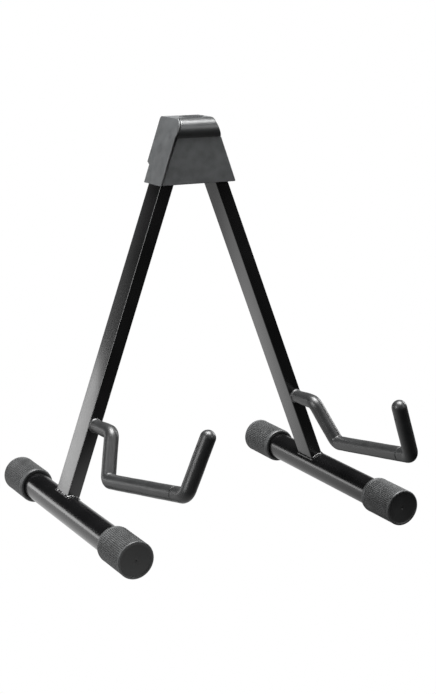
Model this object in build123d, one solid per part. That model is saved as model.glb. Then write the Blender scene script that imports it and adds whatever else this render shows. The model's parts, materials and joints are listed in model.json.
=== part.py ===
from build123d import *
import math
import os

# Folding A-frame stand for a guitar: a small head carries two hinged legs, each welded to a
# round foot tube and to a bent, rubber-sleeved arm that reaches forward and turns up.
# Axes: +X to the stand's own left-to-right, -Y to the front, +Z up.  The origin is on the
# floor, at the middle of the stand's outline.  All sizes are in millimetres.

# Overall sizes
FOOT_SPACING = 323.0        # between the axes of the two foot tubes
FOOT_LENGTH = 315.0         # one foot, cap end to cap end
FOOT_FRONT = 183.0          # from the leg's centre line to the front end of the foot
HINGE_HEIGHT = 424.6        # hinge axes above the floor
HINGE_HALF_SPACING = 11.8   # each hinge axis from the middle plane
LEG_RAKE_DEG = 1.7          # the legs lean back by this much

# Leg and foot tubes
LEG_WIDTH = 15.0
LEG_DEPTH = 30.0
LEG_WALL = 1.5
LEG_CORNER = 1.0
FOOT_TUBE_D = 31.0
FOOT_TUBE_WALL = 1.5
WELD_SIZE = 2.2             # leg of the fillet weld around the foot of the leg
PLUG_DROP = 18.0            # how far the leg's top plug reaches below the hinge axis
PLUG_FIT = 0.1

# Foot caps
CAP_D = 40.0
CAP_LENGTH = 53.0
CAP_END = 4.0               # thickness of the closed end
CAP_FIT = 0.1               # gap between cap and tube, per side
CAP_RIM = 1.5               # rounding of the closed end
CAP_MOUTH_RIM = 1.5
CAP_DISH_D = 31.0
CAP_DISH_DEPTH = 0.8
CAP_DIMPLE_D = 3.0

# Arms.  Corner points are measured forward from the leg's front face and up the leg from
# the foot tube's axis, in the leg's own plane.
ARM_ROD_D = 10.0
ARM_SLEEVE_D = 16.0
ARM_ROOT_D = 14.0           # the sleeve is thinner where it meets the leg
ARM_COLLAR_D = 16.4
ARM_COLLAR_LENGTH = 2.4
ARM_ROOT_UP = 96.4
ARM_SHOULDER = (41.4, 97.7)
ARM_HEEL = (64.7, 50.0)
ARM_TOE = (222.8, 77.1)
ARM_TIP = (229.9, 137.3)
ARM_BEND_R = 9.5
ARM_TOE_BEND_R = 10.0
ARM_TAPER_LENGTH = 28.0
ARM_SEAM_SETBACK = 20.0     # the end sleeve starts this far before the toe corner
ARM_SEAM_GAP = 0.3
ARM_SLEEVE_FIT = 0.05
ARM_VENT_D = 2.4
ARM_VENT_DEPTH = 1.8
ARM_VENT_BELOW_TIP = 11.0
ARM_COLLAR_ROUND = 1.0

# Head
HEAD_SKIRT = 58.2           # hinge axis down to the head's lower edge
HEAD_STEP = 36.4            # hinge axis down to the step in the back
HEAD_STEP_FALL = 2.7        # the step's underside slopes down by this much
HEAD_WALL = 3.0
LEFT_TOP_GROW = 2.0         # the left side leans in less than the leg, by this much at the top
RIGHT_GROW = 2.4            # the right side stands this far outside the wall beside the leg
RIGHT_TOP_GROW = 2.0        # and it runs upright near the top, this far outside the slant
LIP_WALL = 1.2              # the left side wall thins to this beside the front cover
LEG_SIDE_GAP = 0.9          # leg side to the inside of the head's side wall
STOP_RIB_GAP = 0.05         # the open leg rests on the stop rib, this close
STOP_RIB_LENGTH = 9.0
STOP_RIB_DEPTH = 16.0
STOP_RIB_ABOVE_EDGE = 6.0
LEG_FACE_GAP = 0.4          # leg front or back to the nearest flat of the head
LEG_TOP_GAP = 0.9
WEB_THICKNESS = 2.6
BACK_WALL = 4.0
SKIRT_BACK_WALL = 2.6
COVER_THICKNESS = 2.0
COVER_AIR = 1.2             # air between the front cover and the web
COVER_RECESS = 1.2          # the cover sits this far behind the left side wall's lip
COVER_GAP_TOP = 2.4         # left lip to the front cover, at its top
COVER_GAP_LOW = 1.1         # and at its lower edge
COVER_CORNER = 1.2
COVER_ROUND = 0.6
COVER_PEG_D = 4.0
COVER_PEG_FIT = 0.05
COVER_PEG_TOP_INSET = 12.0  # upper pegs below the pad
COVER_PEG_LOW_INSET = 10.0  # lower pegs above the head's lower edge
REAR_LIP = 0.5
REAR_SIDE_GAP = 0.4
PAD_THICKNESS = 2.6
NOSE_WALL = 1.45            # plastic between the leg's room and the pad
PAD_DROP = 7.8              # hinge axis down to the pad's lower edge
PAD_BACK = 2.0              # the pad ends this far behind its own centre line
PAD_FIT = 0.05
PAD_SIDE_GAP = 1.4          # left lip to the pad's left end
SIDE_LIP_PROUD = 0.7        # the left side wall stands this far around the pad
TOP_RIM_RX = 14.5
TOP_RIM_RY = 8.6
TOP_RIM_HEIGHT = 1.2
TOP_RIM_WIDTH = 2.6
TOP_DISH_DEPTH = 1.5
TOP_RIM_BACK = -2.5         # centre of the top recess behind the hinge plane
TOP_RIM_RIGHT = 3.5         # and to the right of the middle plane

# Hinge hardware
BOLT_D = 5.0
BOLT_HEAD_D = 9.5
BOLT_HEAD_HEIGHT = 2.6
BOLT_HEAD_FIT = 0.5
BOLT_SOCKET_AF = 3.0
BOLT_SOCKET_DEPTH = 1.4
BOLT_FIT = 0.05             # radial clearance of the bolt in its bores
BOLT_SEAT = 2.4             # plastic left under the bolt's head
NUT_AF = 8.0
NUT_HEIGHT = 2.5
NUT_SEAT = 1.4
NUT_FIT = 0.2               # across the flats
BOSS_RIM = 1.5              # the housing's hinge boss is this much wider than the washer
BUSH_D = 8.0
BUSH_FIT = 0.05
WASHER_D = 13.0
WASHER_THICKNESS = 1.2
WASHER_PLAY = 0.35          # washer to leg, each side
REAR_SCREW_D = 2.5
REAR_SCREW_HEAD_D = 5.4
REAR_SCREW_HEAD_HEIGHT = 1.4
REAR_SCREW_LENGTH = 3.4
REAR_SCREW_INSET = 7.5
REAR_SCREW_RISE = 2.0       # upper screw above the hinge axes
SHORT_GAP = 0.05            # between faces that only lie against each other

# Worked-out places
FOOT_AXIS_Z = CAP_D / 2
RISE = HINGE_HEIGHT - FOOT_AXIS_Z
SPREAD = math.atan((FOOT_SPACING / 2 - HINGE_HALF_SPACING) / RISE)
RAKE = math.radians(LEG_RAKE_DEG)
LEG_RUN = RISE / math.cos(SPREAD)             # foot axis to hinge axis, in the leg's plane
HINGE_BACK = LEG_RUN * math.tan(RAKE)         # the hinge lies this far behind the leg's foot
LEG_HALF_DEPTH = LEG_DEPTH / 2 / math.cos(RAKE)
PAD_R = LEG_WIDTH / 2 + LEG_TOP_GAP + NOSE_WALL + PAD_FIT + PAD_THICKNESS
SIDE_LIP_R = PAD_R + SIDE_LIP_PROUD
RAKE_SLOPE = math.tan(RAKE) / math.cos(SPREAD)


def arm_point(forward, up):
    """Point of the arm in the leg's plane, from the leg's front face and the foot axis."""
    reach = forward + LEG_DEPTH / 2
    y = -reach * math.cos(RAKE) + up * math.sin(RAKE)
    z = reach * math.sin(RAKE) + up * math.cos(RAKE)
    return Vector(0, y, z)


# The outline's front end is the arm's tip and its rear end is the foot's rear cap.
FRONT_REACH = arm_point(*ARM_TIP).Y - ARM_SLEEVE_D / 2
REAR_REACH = FOOT_LENGTH - FOOT_FRONT
LEG_Y = -(FRONT_REACH + REAR_REACH) / 2
HINGE_Y = LEG_Y + HINGE_BACK

# Head planes, measured from the hinge plane along Y
BOSS_FACE = LEG_HALF_DEPTH + WASHER_PLAY + WASHER_THICKNESS
WEB_BACK = -(LEG_HALF_DEPTH + HEAD_SKIRT * RAKE_SLOPE + LEG_FACE_GAP)
WEB_FRONT = WEB_BACK - WEB_THICKNESS
COVER_BACK = WEB_FRONT - COVER_AIR
COVER_FRONT = COVER_BACK - COVER_THICKNESS
LIP_FRONT = COVER_FRONT - COVER_RECESS
PAD_Y = COVER_FRONT + math.sqrt(PAD_R ** 2 - PAD_DROP ** 2)
BACK_OUTER = BOSS_FACE + BACK_WALL
LIP_BACK = BACK_OUTER + COVER_THICKNESS + REAR_LIP
SKIRT_INNER = LEG_HALF_DEPTH - HEAD_STEP * RAKE_SLOPE + LEG_FACE_GAP
SKIRT_OUTER = SKIRT_INNER + SKIRT_BACK_WALL
HEAD_BOTTOM = HINGE_HEIGHT - HEAD_SKIRT
HEAD_TOP = HINGE_HEIGHT + PAD_R
STEP_Z = HINGE_HEIGHT - HEAD_STEP
PAD_BOTTOM = HINGE_HEIGHT - PAD_DROP
CEILING = HINGE_HEIGHT + LEG_WIDTH / 2 + LEG_TOP_GAP
INNER_OFFSET = LEG_WIDTH / 2 + LEG_SIDE_GAP
OUTER_OFFSET = INNER_OFFSET + HEAD_WALL
NOSE_R = PAD_R - PAD_THICKNESS - PAD_FIT
BOLT_SEAT_Y = -(BOSS_FACE + BOLT_SEAT)
NUT_SEAT_Y = BOSS_FACE + NUT_SEAT
BEYOND = 10.0               # how far a cutting body runs past what it cuts

SIDES = {"left": -1, "right": 1}


def side_frame(side):
    """Place of a leg's own frame: Y along the foot, Z up the leg's plane."""
    turn = -side * math.degrees(SPREAD)
    return Pos(side * FOOT_SPACING / 2, LEG_Y, FOOT_AXIS_Z) * Rot(0, turn, 0)


def y_cylinder(radius, y0, y1, x=0.0, z=0.0):
    """Cylinder along Y between two places."""
    middle = Pos(x, (y0 + y1) / 2, z)
    return middle * Rot(90, 0, 0) * Cylinder(radius, abs(y1 - y0))


def x_cylinder(radius, y, z, length=400.0):
    """Cylinder along X through the middle plane."""
    return Pos(0, y, z) * Rot(0, 90, 0) * Cylinder(radius, length)


def block(x0, x1, y0, y1, z0, z1):
    """Box between two corners."""
    centre = Pos((x0 + x1) / 2, (y0 + y1) / 2, (z0 + z1) / 2)
    return centre * Box(x1 - x0, y1 - y0, z1 - z0)


def hinge_place(side):
    """X of a hinge axis."""
    return side * HINGE_HALF_SPACING


# ---------------------------------------------------------------- leg assembly, own frame

def leg_section(width, depth, corner):
    """Rounded rectangle of the leg tube."""
    return RectangleRounded(width, depth, corner)


def leg_prism(width, depth, corner, start, end):
    """Prism along the raked leg, between two distances from the foot's axis."""
    prism = extrude(leg_section(width, depth, corner), end - start)
    return Rot(-LEG_RAKE_DEG, 0, 0) * Pos(0, 0, start) * prism


def leg_top_trim():
    """Everything above the hinge axis that lies outside the leg's rounded top."""
    half = LEG_WIDTH / 2
    reach = LEG_DEPTH + HINGE_BACK
    above = block(-LEG_WIDTH, LEG_WIDTH, -reach, reach, LEG_RUN, LEG_RUN + 2 * LEG_WIDTH)
    return above - y_cylinder(half, -2 * LEG_DEPTH, 2 * LEG_DEPTH + HINGE_BACK, 0, LEG_RUN)


def hinge_bore(radius):
    """Bore of the hinge through the whole leg."""
    return y_cylinder(radius, HINGE_BACK - LEG_DEPTH, HINGE_BACK + LEG_DEPTH, 0, LEG_RUN)


def make_leg_tube():
    """Rectangular tube, coped onto the foot tube and rounded at the hinge."""
    top = LEG_RUN + LEG_WIDTH
    tube = leg_prism(LEG_WIDTH, LEG_DEPTH, LEG_CORNER, 0, top)
    inner_corner = max(LEG_CORNER - LEG_WALL, 0.5)
    width, depth = LEG_WIDTH - 2 * LEG_WALL, LEG_DEPTH - 2 * LEG_WALL
    tube -= leg_prism(width, depth, inner_corner, -BEYOND, top + BEYOND)
    tube -= y_cylinder(FOOT_TUBE_D / 2, -LEG_DEPTH, LEG_DEPTH)
    tube -= leg_top_trim()
    tube -= hinge_bore(BUSH_D / 2 + BUSH_FIT)
    root = arm_point(0, ARM_ROOT_UP)
    bore = Plane(root, z_dir=arm_direction()) * Cylinder(ARM_ROD_D / 2 + ARM_SLEEVE_FIT, 4 * LEG_WALL)
    return tube - bore


def make_leg_top_plug():
    """Moulded plug that closes the leg's top and holds the hinge bush."""
    width = LEG_WIDTH - 2 * LEG_WALL - 2 * PLUG_FIT
    depth = LEG_DEPTH - 2 * LEG_WALL - 2 * PLUG_FIT
    plug = leg_prism(width, depth, 1.0, LEG_RUN - PLUG_DROP, LEG_RUN + LEG_WIDTH)
    return plug - leg_top_trim() - hinge_bore(BUSH_D / 2 + BUSH_FIT)


def make_hinge_bush():
    """Bush through the leg for the hinge bolt."""
    reach = LEG_HALF_DEPTH - SHORT_GAP
    bush = y_cylinder(BUSH_D / 2, HINGE_BACK - reach, HINGE_BACK + reach, 0, LEG_RUN)
    return bush - hinge_bore(BOLT_D / 2 + BOLT_FIT)


def make_foot_tube():
    """Round tube of the foot, open at both ends under the caps."""
    front = -FOOT_FRONT + CAP_END
    rear = REAR_REACH - CAP_END
    tube = y_cylinder(FOOT_TUBE_D / 2, front, rear)
    return tube - y_cylinder(FOOT_TUBE_D / 2 - FOOT_TUBE_WALL, front - BEYOND, rear + BEYOND)


def make_foot_weld():
    """Weld bead around the coped end of the leg, on the foot tube."""
    outline = LEG_CORNER + WELD_SIZE
    grown = leg_prism(LEG_WIDTH + 2 * WELD_SIZE, LEG_DEPTH + 2 * WELD_SIZE, outline, 0, CAP_D)
    leg = leg_prism(LEG_WIDTH, LEG_DEPTH, LEG_CORNER, -BEYOND, CAP_D + BEYOND)
    skin = y_cylinder(FOOT_TUBE_D / 2 + WELD_SIZE, -LEG_DEPTH, LEG_DEPTH)
    skin -= y_cylinder(FOOT_TUBE_D / 2, -LEG_DEPTH - BEYOND, LEG_DEPTH + BEYOND)
    return (grown & skin) - leg


def make_foot_cap():
    """Rubber cap in its own frame: the closed end faces -Y and lies at the origin."""
    cap = y_cylinder(CAP_D / 2, 0, CAP_LENGTH)
    ends = cap.edges().filter_by(GeomType.CIRCLE).sort_by(Axis.Y)
    cap = fillet(ends[0], CAP_RIM)
    mouth = cap.edges().filter_by(GeomType.CIRCLE).sort_by(Axis.Y)[-1]
    cap = fillet(mouth, CAP_MOUTH_RIM)
    cap -= y_cylinder(FOOT_TUBE_D / 2 + CAP_FIT, CAP_END, CAP_LENGTH + BEYOND)
    cap -= y_cylinder(CAP_DISH_D / 2, -BEYOND, CAP_DISH_DEPTH)
    return cap - y_cylinder(CAP_DIMPLE_D / 2, -BEYOND, 2 * CAP_DISH_DEPTH)


def arm_direction():
    """Direction in which the arm leaves the leg."""
    root = arm_point(0, ARM_ROOT_UP)
    return (arm_point(*ARM_SHOULDER) - root).normalized()


def arm_sweep(radius, points, bends):
    """Round bar of one radius along the arm's bent line."""
    path = FilletPolyline(*points, radius=bends)
    section = Plane(path @ 0, z_dir=path % 0) * Circle(radius)
    return sweep(section, path=path)


def arm_corners():
    """Root, shoulder, heel, seam, toe and tip of the arm's centre line."""
    toe = arm_point(*ARM_TOE)
    heel = arm_point(*ARM_HEEL)
    seam = toe + (heel - toe).normalized() * ARM_SEAM_SETBACK
    return arm_point(0, ARM_ROOT_UP), arm_point(*ARM_SHOULDER), heel, seam, toe, arm_point(*ARM_TIP)


def make_arm_rod(fit=0.0):
    """Bent steel rod from the leg's front wall to the arm's tip."""
    root, shoulder, heel, seam, toe, tip = arm_corners()
    start = root - arm_direction() * LEG_WALL
    bends = [ARM_BEND_R, ARM_BEND_R, ARM_TOE_BEND_R]
    return arm_sweep(ARM_ROD_D / 2 + fit, [start, shoulder, heel, toe, tip], bends)


def make_arm_sleeve():
    """Rubber sleeve from the leg to the seam, thinner at its root, with a collar."""
    root, shoulder, heel, seam, toe, tip = arm_corners()
    away = arm_direction()
    start = root - away * LEG_WALL / 2
    taper_end = root + away * ARM_TAPER_LENGTH
    length = ARM_TAPER_LENGTH + LEG_WALL / 2
    sleeve = arm_sweep(ARM_SLEEVE_D / 2, [taper_end, shoulder, heel, seam], [ARM_BEND_R, ARM_BEND_R])
    place = Plane((start + taper_end) * 0.5, z_dir=away)
    sleeve += place * Cone(ARM_ROOT_D / 2, ARM_SLEEVE_D / 2, length)
    collar = Cylinder(ARM_COLLAR_D / 2, ARM_COLLAR_LENGTH)
    collar = fillet(collar.edges().filter_by(GeomType.CIRCLE), ARM_COLLAR_ROUND)
    sleeve += Plane(root + away * (ARM_COLLAR_LENGTH / 2), z_dir=away) * collar
    sleeve -= leg_prism(2 * LEG_WIDTH, LEG_DEPTH + 2 * SHORT_GAP, SHORT_GAP, 0, 2 * ARM_ROOT_UP)
    return sleeve - make_arm_rod(ARM_SLEEVE_FIT)


def make_arm_end_sleeve():
    """Rubber sleeve around the toe and up to the rounded tip, with a small vent."""
    root, shoulder, heel, seam, toe, tip = arm_corners()
    start = seam + (toe - heel).normalized() * ARM_SEAM_GAP
    sleeve = arm_sweep(ARM_SLEEVE_D / 2, [start, toe, tip], [ARM_TOE_BEND_R])
    sleeve += Pos(*tip) * Sphere(ARM_SLEEVE_D / 2)
    sleeve -= make_arm_rod(ARM_SLEEVE_FIT)
    vent = tip - (tip - toe).normalized() * ARM_VENT_BELOW_TIP
    vent_place = Pos(-ARM_SLEEVE_D / 2, vent.Y, vent.Z) * Rot(0, 90, 0)
    return sleeve - vent_place * Cylinder(ARM_VENT_D / 2, 2 * ARM_VENT_DEPTH)


# ---------------------------------------------------------------- head, stand's frame

def y_prism(points, y0, y1):
    """Prism along Y on an outline of X and Z, between two distances from the hinge plane."""
    plane = Plane(origin=(0, HINGE_Y + y1, 0), x_dir=(1, 0, 0), z_dir=(0, -1, 0))
    return extrude(plane * make_face(Polyline(*points, close=True)), y1 - y0)


def side_x(offset, z):
    """Half width at a height between slanted sides that run parallel to the open legs."""
    return HINGE_HALF_SPACING + (HINGE_HEIGHT - z) * math.tan(SPREAD) + offset / math.cos(SPREAD)


def left_x(inset, z):
    """X of the head's left side at a height, drawn in by an inset."""
    share = (z - HEAD_BOTTOM) / (HEAD_TOP - HEAD_BOTTOM)
    return -(side_x(OUTER_OFFSET, z) + LEFT_TOP_GROW * share - inset / math.cos(SPREAD))


def right_x(z):
    """X of the head's right side at a height: slanted, then upright near the top."""
    return RIGHT_GROW + max(side_x(OUTER_OFFSET, z), side_x(OUTER_OFFSET, HEAD_TOP) + RIGHT_TOP_GROW)


def trapezoid(offset, y0, y1, z0, z1):
    """Prism along Y whose slanted sides run parallel to the open legs."""
    low, high = side_x(offset, z0), side_x(offset, z1)
    return y_prism([(-low, z0), (low, z0), (high, z1), (-high, z1)], y0, y1)


def head_prism(inset, y0, y1, z0, z1):
    """Prism along Y on the head's front outline, with the left side drawn in by an inset."""
    points = [(left_x(inset, z0), z0), (right_x(z0), z0)]
    bend = HEAD_TOP - RIGHT_TOP_GROW / math.tan(SPREAD)
    if z0 < bend < z1:
        points.append((right_x(bend), bend))
    return y_prism(points + [(right_x(z1), z1), (left_x(inset, z1), z1)], y0, y1)


def head_y(y0, y1):
    """Y range of the head in the stand's frame."""
    return HINGE_Y + y0, HINGE_Y + y1


def make_side_profile():
    """The head seen from its side: stepped back with a sloped underside, rounded nose."""
    wide = 2 * FOOT_SPACING
    upper = block(-wide, wide, *head_y(LIP_FRONT, LIP_BACK), STEP_Z, HEAD_TOP)
    back_edge = upper.edges().filter_by(Axis.X).group_by(Axis.Z)[-1].sort_by(Axis.Y)[-1]
    upper = fillet(back_edge, HEAD_WALL)
    lower = block(-wide, wide, *head_y(LIP_FRONT, SKIRT_OUTER), HEAD_BOTTOM, STEP_Z)
    skirt_y, back_y = head_y(SKIRT_OUTER, LIP_BACK)
    under = Polyline((skirt_y, STEP_Z), (back_y, STEP_Z), (skirt_y, STEP_Z - HEAD_STEP_FALL), close=True)
    side_plane = Plane(origin=(-wide, 0, 0), x_dir=(0, 1, 0), z_dir=(1, 0, 0))
    lower += extrude(side_plane * make_face(under), 2 * wide)
    corner = block(-wide, wide, *head_y(LIP_FRONT - BEYOND, PAD_Y), HINGE_HEIGHT, HEAD_TOP + BEYOND)
    nose = x_cylinder(SIDE_LIP_R, HINGE_Y + PAD_Y, HINGE_HEIGHT, 2 * wide)
    under_top = block(-wide, wide, *head_y(LIP_FRONT - BEYOND, PAD_Y), HINGE_HEIGHT - 2 * PAD_R, HEAD_TOP)
    return upper - corner + lower + (nose & under_top)


def peg_places():
    """X and Z of the front cover's pegs."""
    high = PAD_BOTTOM - COVER_PEG_TOP_INSET
    low = HEAD_BOTTOM + COVER_PEG_LOW_INSET
    slope = math.tan(SPREAD)
    places = []
    for z in (low, high):
        half = HINGE_HALF_SPACING + (HINGE_HEIGHT - z) * slope
        places += [(-half, z), (half, z)]
    return places


def rear_screw_places():
    """X and Z of the rear cover's screws."""
    low = STEP_Z + REAR_SCREW_INSET
    half = HINGE_HALF_SPACING + (HINGE_HEIGHT - low) * math.tan(SPREAD)
    return [(0, HINGE_HEIGHT + REAR_SCREW_RISE), (-half, low), (half, low)]


def hex_prism(across_flats, y0, y1, x, z):
    """Six-sided prism along Y."""
    plane = Plane(origin=(x, y1, z), x_dir=(1, 0, 0), z_dir=(0, -1, 0))
    return extrude(plane * RegularPolygon(across_flats / 2, 6, major_radius=False), y1 - y0)


def front_room(right_low, right_high, back):
    """Room in front of the web for the front cover, from the left lip to a right edge."""
    z0, z1 = HEAD_BOTTOM - BEYOND, PAD_BOTTOM
    corners = [(left_x(LIP_WALL, z0), z0), (right_low + BEYOND * math.tan(SPREAD), z0)]
    corners += [(right_high, z1), (left_x(LIP_WALL, z1), z1)]
    return y_prism(corners, LIP_FRONT - BEYOND, back)


def make_pad_room():
    """Room for the pad, from the left lip out through the right side."""
    z0, z1 = PAD_BOTTOM, HEAD_TOP + BEYOND
    corners = [(left_x(LIP_WALL, z0), z0), (FOOT_SPACING, z0), (FOOT_SPACING, z1)]
    corners.append((left_x(LIP_WALL, z1), z1))
    return y_prism(corners, LIP_FRONT - BEYOND, PAD_Y + PAD_BACK + PAD_FIT)


def make_housing():
    """Moulded head: side walls, web, back wall, top with an oval recess, hinge bosses."""
    front, back = LIP_FRONT - BEYOND, LIP_BACK + BEYOND
    body = make_side_profile() & head_prism(0, front, back, HEAD_BOTTOM, HEAD_TOP)
    body -= front_room(side_x(INNER_OFFSET, HEAD_BOTTOM), side_x(INNER_OFFSET, PAD_BOTTOM), WEB_FRONT)
    body -= front_room(FOOT_SPACING, FOOT_SPACING, COVER_BACK + SHORT_GAP)
    body -= make_pad_room() - x_cylinder(NOSE_R, HINGE_Y + PAD_Y, HINGE_HEIGHT)
    body -= trapezoid(INNER_OFFSET, WEB_BACK, SKIRT_INNER, HEAD_BOTTOM - BEYOND, CEILING)
    body -= trapezoid(INNER_OFFSET, WEB_BACK, BOSS_FACE, STEP_Z, CEILING)
    rear_top = HEAD_TOP - HEAD_WALL
    body -= trapezoid(INNER_OFFSET, BACK_OUTER, back, STEP_Z + SKIRT_BACK_WALL, rear_top)
    for side in SIDES.values():
        x = hinge_place(side)
        y0, y1 = head_y(WEB_BACK, -BOSS_FACE)
        body += y_cylinder(WASHER_D / 2 + BOSS_RIM, y0 - WEB_THICKNESS / 2, y1, x, HINGE_HEIGHT)
        y0, y1 = head_y(front, BOLT_SEAT_Y)
        body -= y_cylinder(BOLT_HEAD_D / 2 + BOLT_HEAD_FIT, y0, y1, x, HINGE_HEIGHT)
        y0, y1 = head_y(NUT_SEAT_Y, back)
        body -= hex_prism(NUT_AF + NUT_FIT, y0, y1, x, HINGE_HEIGHT)
        y0, y1 = head_y(LIP_FRONT, LIP_BACK)
        body -= y_cylinder(BOLT_D / 2 + BOLT_FIT, y0, y1, x, HINGE_HEIGHT)
        body += side_frame(side) * make_stop_rib(side)
    for x, z in peg_places():
        y0, y1 = head_y(COVER_BACK, WEB_BACK + SHORT_GAP)
        body -= y_cylinder(COVER_PEG_D / 2 + COVER_PEG_FIT, y0, y1, x, z)
    for x, z in rear_screw_places():
        y0, y1 = head_y(BACK_OUTER - REAR_SCREW_LENGTH, BACK_OUTER + BEYOND)
        body -= y_cylinder(REAR_SCREW_D / 2, y0, y1, x, z)
    return body + make_top_rim() - make_top_dish()


def make_stop_rib(side):
    """Rib inside the side wall on which the open leg rests, in the leg's own frame."""
    x0 = LEG_WIDTH / 2 + STOP_RIB_GAP
    x1 = INNER_OFFSET + HEAD_WALL / 2
    z0 = (HEAD_BOTTOM - FOOT_AXIS_Z) / math.cos(SPREAD) + STOP_RIB_ABOVE_EDGE
    y0 = HINGE_BACK - HEAD_SKIRT * RAKE_SLOPE - STOP_RIB_DEPTH / 2
    rib = block(x0, x1, y0, y0 + STOP_RIB_DEPTH, z0, z0 + STOP_RIB_LENGTH)
    return rib if side > 0 else mirror(rib, Plane.YZ)


def top_oval(shrink, z0, z1):
    """Oval prism on the head's top."""
    plane = Plane(origin=(TOP_RIM_RIGHT, HINGE_Y + TOP_RIM_BACK, z0))
    return extrude(plane * Ellipse(TOP_RIM_RX - shrink, TOP_RIM_RY - shrink), z1 - z0)


def make_top_rim():
    """Raised oval rim on the head's top."""
    return top_oval(0, HEAD_TOP - 1, HEAD_TOP + TOP_RIM_HEIGHT)


def make_top_dish():
    """The recess inside the oval rim."""
    return top_oval(TOP_RIM_WIDTH, HEAD_TOP - TOP_DISH_DEPTH, HEAD_TOP + BEYOND)


def make_front_cover():
    """Flat front cover with four pegs that locate in the web."""
    z0, z1 = HEAD_BOTTOM, PAD_BOTTOM - 4 * SHORT_GAP
    low = (left_x(LIP_WALL + COVER_GAP_LOW, z0), z0)
    high = (left_x(LIP_WALL + COVER_GAP_TOP, z1), z1)
    cover = y_prism([low, (right_x(z0), z0), (right_x(z1), z1), high], COVER_FRONT, COVER_BACK)
    cover = fillet(cover.edges().filter_by(Axis.Y), COVER_CORNER)
    front = cover.faces().sort_by(Axis.Y)[0]
    cover = fillet(front.edges(), COVER_ROUND)
    for x, z in peg_places():
        y0, y1 = head_y(COVER_BACK - SHORT_GAP, WEB_BACK - 6 * SHORT_GAP)
        cover += y_cylinder(COVER_PEG_D / 2, y0, y1, x, z)
    return cover


def make_bumper_pad():
    """Rubber pad bent over the head's nose, where the guitar's back leans."""
    inset = LIP_WALL + PAD_SIDE_GAP
    room = head_prism(inset, LIP_FRONT - BEYOND, PAD_Y + PAD_BACK, PAD_BOTTOM, HEAD_TOP)
    y = HINGE_Y + PAD_Y
    band = x_cylinder(PAD_R, y, HINGE_HEIGHT) - x_cylinder(PAD_R - PAD_THICKNESS, y, HINGE_HEIGHT)
    return band & room


def make_rear_cover():
    """Flat rear cover over the nuts."""
    low = STEP_Z + SKIRT_BACK_WALL + REAR_SIDE_GAP
    high = HEAD_TOP - HEAD_WALL - REAR_SIDE_GAP
    y0 = BACK_OUTER + SHORT_GAP
    y1 = y0 + COVER_THICKNESS
    cover = trapezoid(INNER_OFFSET - REAR_SIDE_GAP, y0, y1, low, high)
    for x, z in rear_screw_places():
        ya, yb = head_y(BACK_OUTER - BEYOND, LIP_BACK + BEYOND)
        cover -= y_cylinder(REAR_SCREW_D / 2 + COVER_PEG_FIT, ya, yb, x, z)
        ya, yb = head_y((y0 + y1) / 2, LIP_BACK + BEYOND)
        cover -= y_cylinder(REAR_SCREW_HEAD_D / 2 + BOLT_HEAD_FIT / 2, ya, yb, x, z)
    return cover


def make_rear_screws():
    """Screws of the rear cover, with crossed slots."""
    screws = []
    seat = BACK_OUTER + SHORT_GAP + COVER_THICKNESS / 2
    for x, z in rear_screw_places():
        y0, y1 = head_y(seat, seat + REAR_SCREW_HEAD_HEIGHT)
        screw = y_cylinder(REAR_SCREW_HEAD_D / 2, y0, y1, x, z)
        slot = REAR_SCREW_HEAD_D / 8
        for wide, tall in ((slot * 3, slot / 2), (slot / 2, slot * 3)):
            screw -= block(x - wide, x + wide, y1 - slot, y1 + 1, z - tall, z + tall)
        tip = HINGE_Y + BACK_OUTER - REAR_SCREW_LENGTH + SHORT_GAP
        screw += y_cylinder(REAR_SCREW_D / 2 - SHORT_GAP, tip, y0, x, z)
        screws.append(screw)
    return screws


def make_hinge_bolts():
    """Socket button-head bolts, one per hinge."""
    bolts = []
    for side in SIDES.values():
        x = hinge_place(side)
        y0, y1 = head_y(BOLT_SEAT_Y - BOLT_HEAD_HEIGHT, BOLT_SEAT_Y)
        head = y_cylinder(BOLT_HEAD_D / 2, y0, y1, x, HINGE_HEIGHT)
        rim = head.edges().filter_by(GeomType.CIRCLE).sort_by(Axis.Y)[0]
        head = fillet(rim, BOLT_HEAD_HEIGHT * 0.5)
        head -= hex_prism(BOLT_SOCKET_AF, y0 - 1, y0 + BOLT_SOCKET_DEPTH, x, HINGE_HEIGHT)
        end = HINGE_Y + NUT_SEAT_Y + NUT_HEIGHT
        bolts.append(head + y_cylinder(BOLT_D / 2, y1, end, x, HINGE_HEIGHT))
    return bolts


def make_hinge_nuts():
    """Thin nuts in the back wall's pockets."""
    nuts = []
    for side in SIDES.values():
        x = hinge_place(side)
        y0, y1 = head_y(NUT_SEAT_Y + SHORT_GAP, NUT_SEAT_Y + NUT_HEIGHT)
        nut = hex_prism(NUT_AF, y0, y1, x, HINGE_HEIGHT)
        nuts.append(nut - y_cylinder(BOLT_D / 2 + BOLT_FIT / 2, y0 - 1, y1 + 1, x, HINGE_HEIGHT))
    return nuts


def make_hinge_washers():
    """Washers in front of and behind each leg."""
    washers = []
    for side in SIDES.values():
        x = hinge_place(side)
        for y in (-BOSS_FACE + SHORT_GAP, BOSS_FACE - SHORT_GAP - WASHER_THICKNESS):
            y0, y1 = head_y(y, y + WASHER_THICKNESS)
            washer = y_cylinder(WASHER_D / 2, y0, y1, x, HINGE_HEIGHT)
            washers.append(washer - y_cylinder(BOLT_D / 2 + BOLT_FIT, y0 - 1, y1 + 1, x, HINGE_HEIGHT))
    return washers


# ---------------------------------------------------------------- assembly

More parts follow.
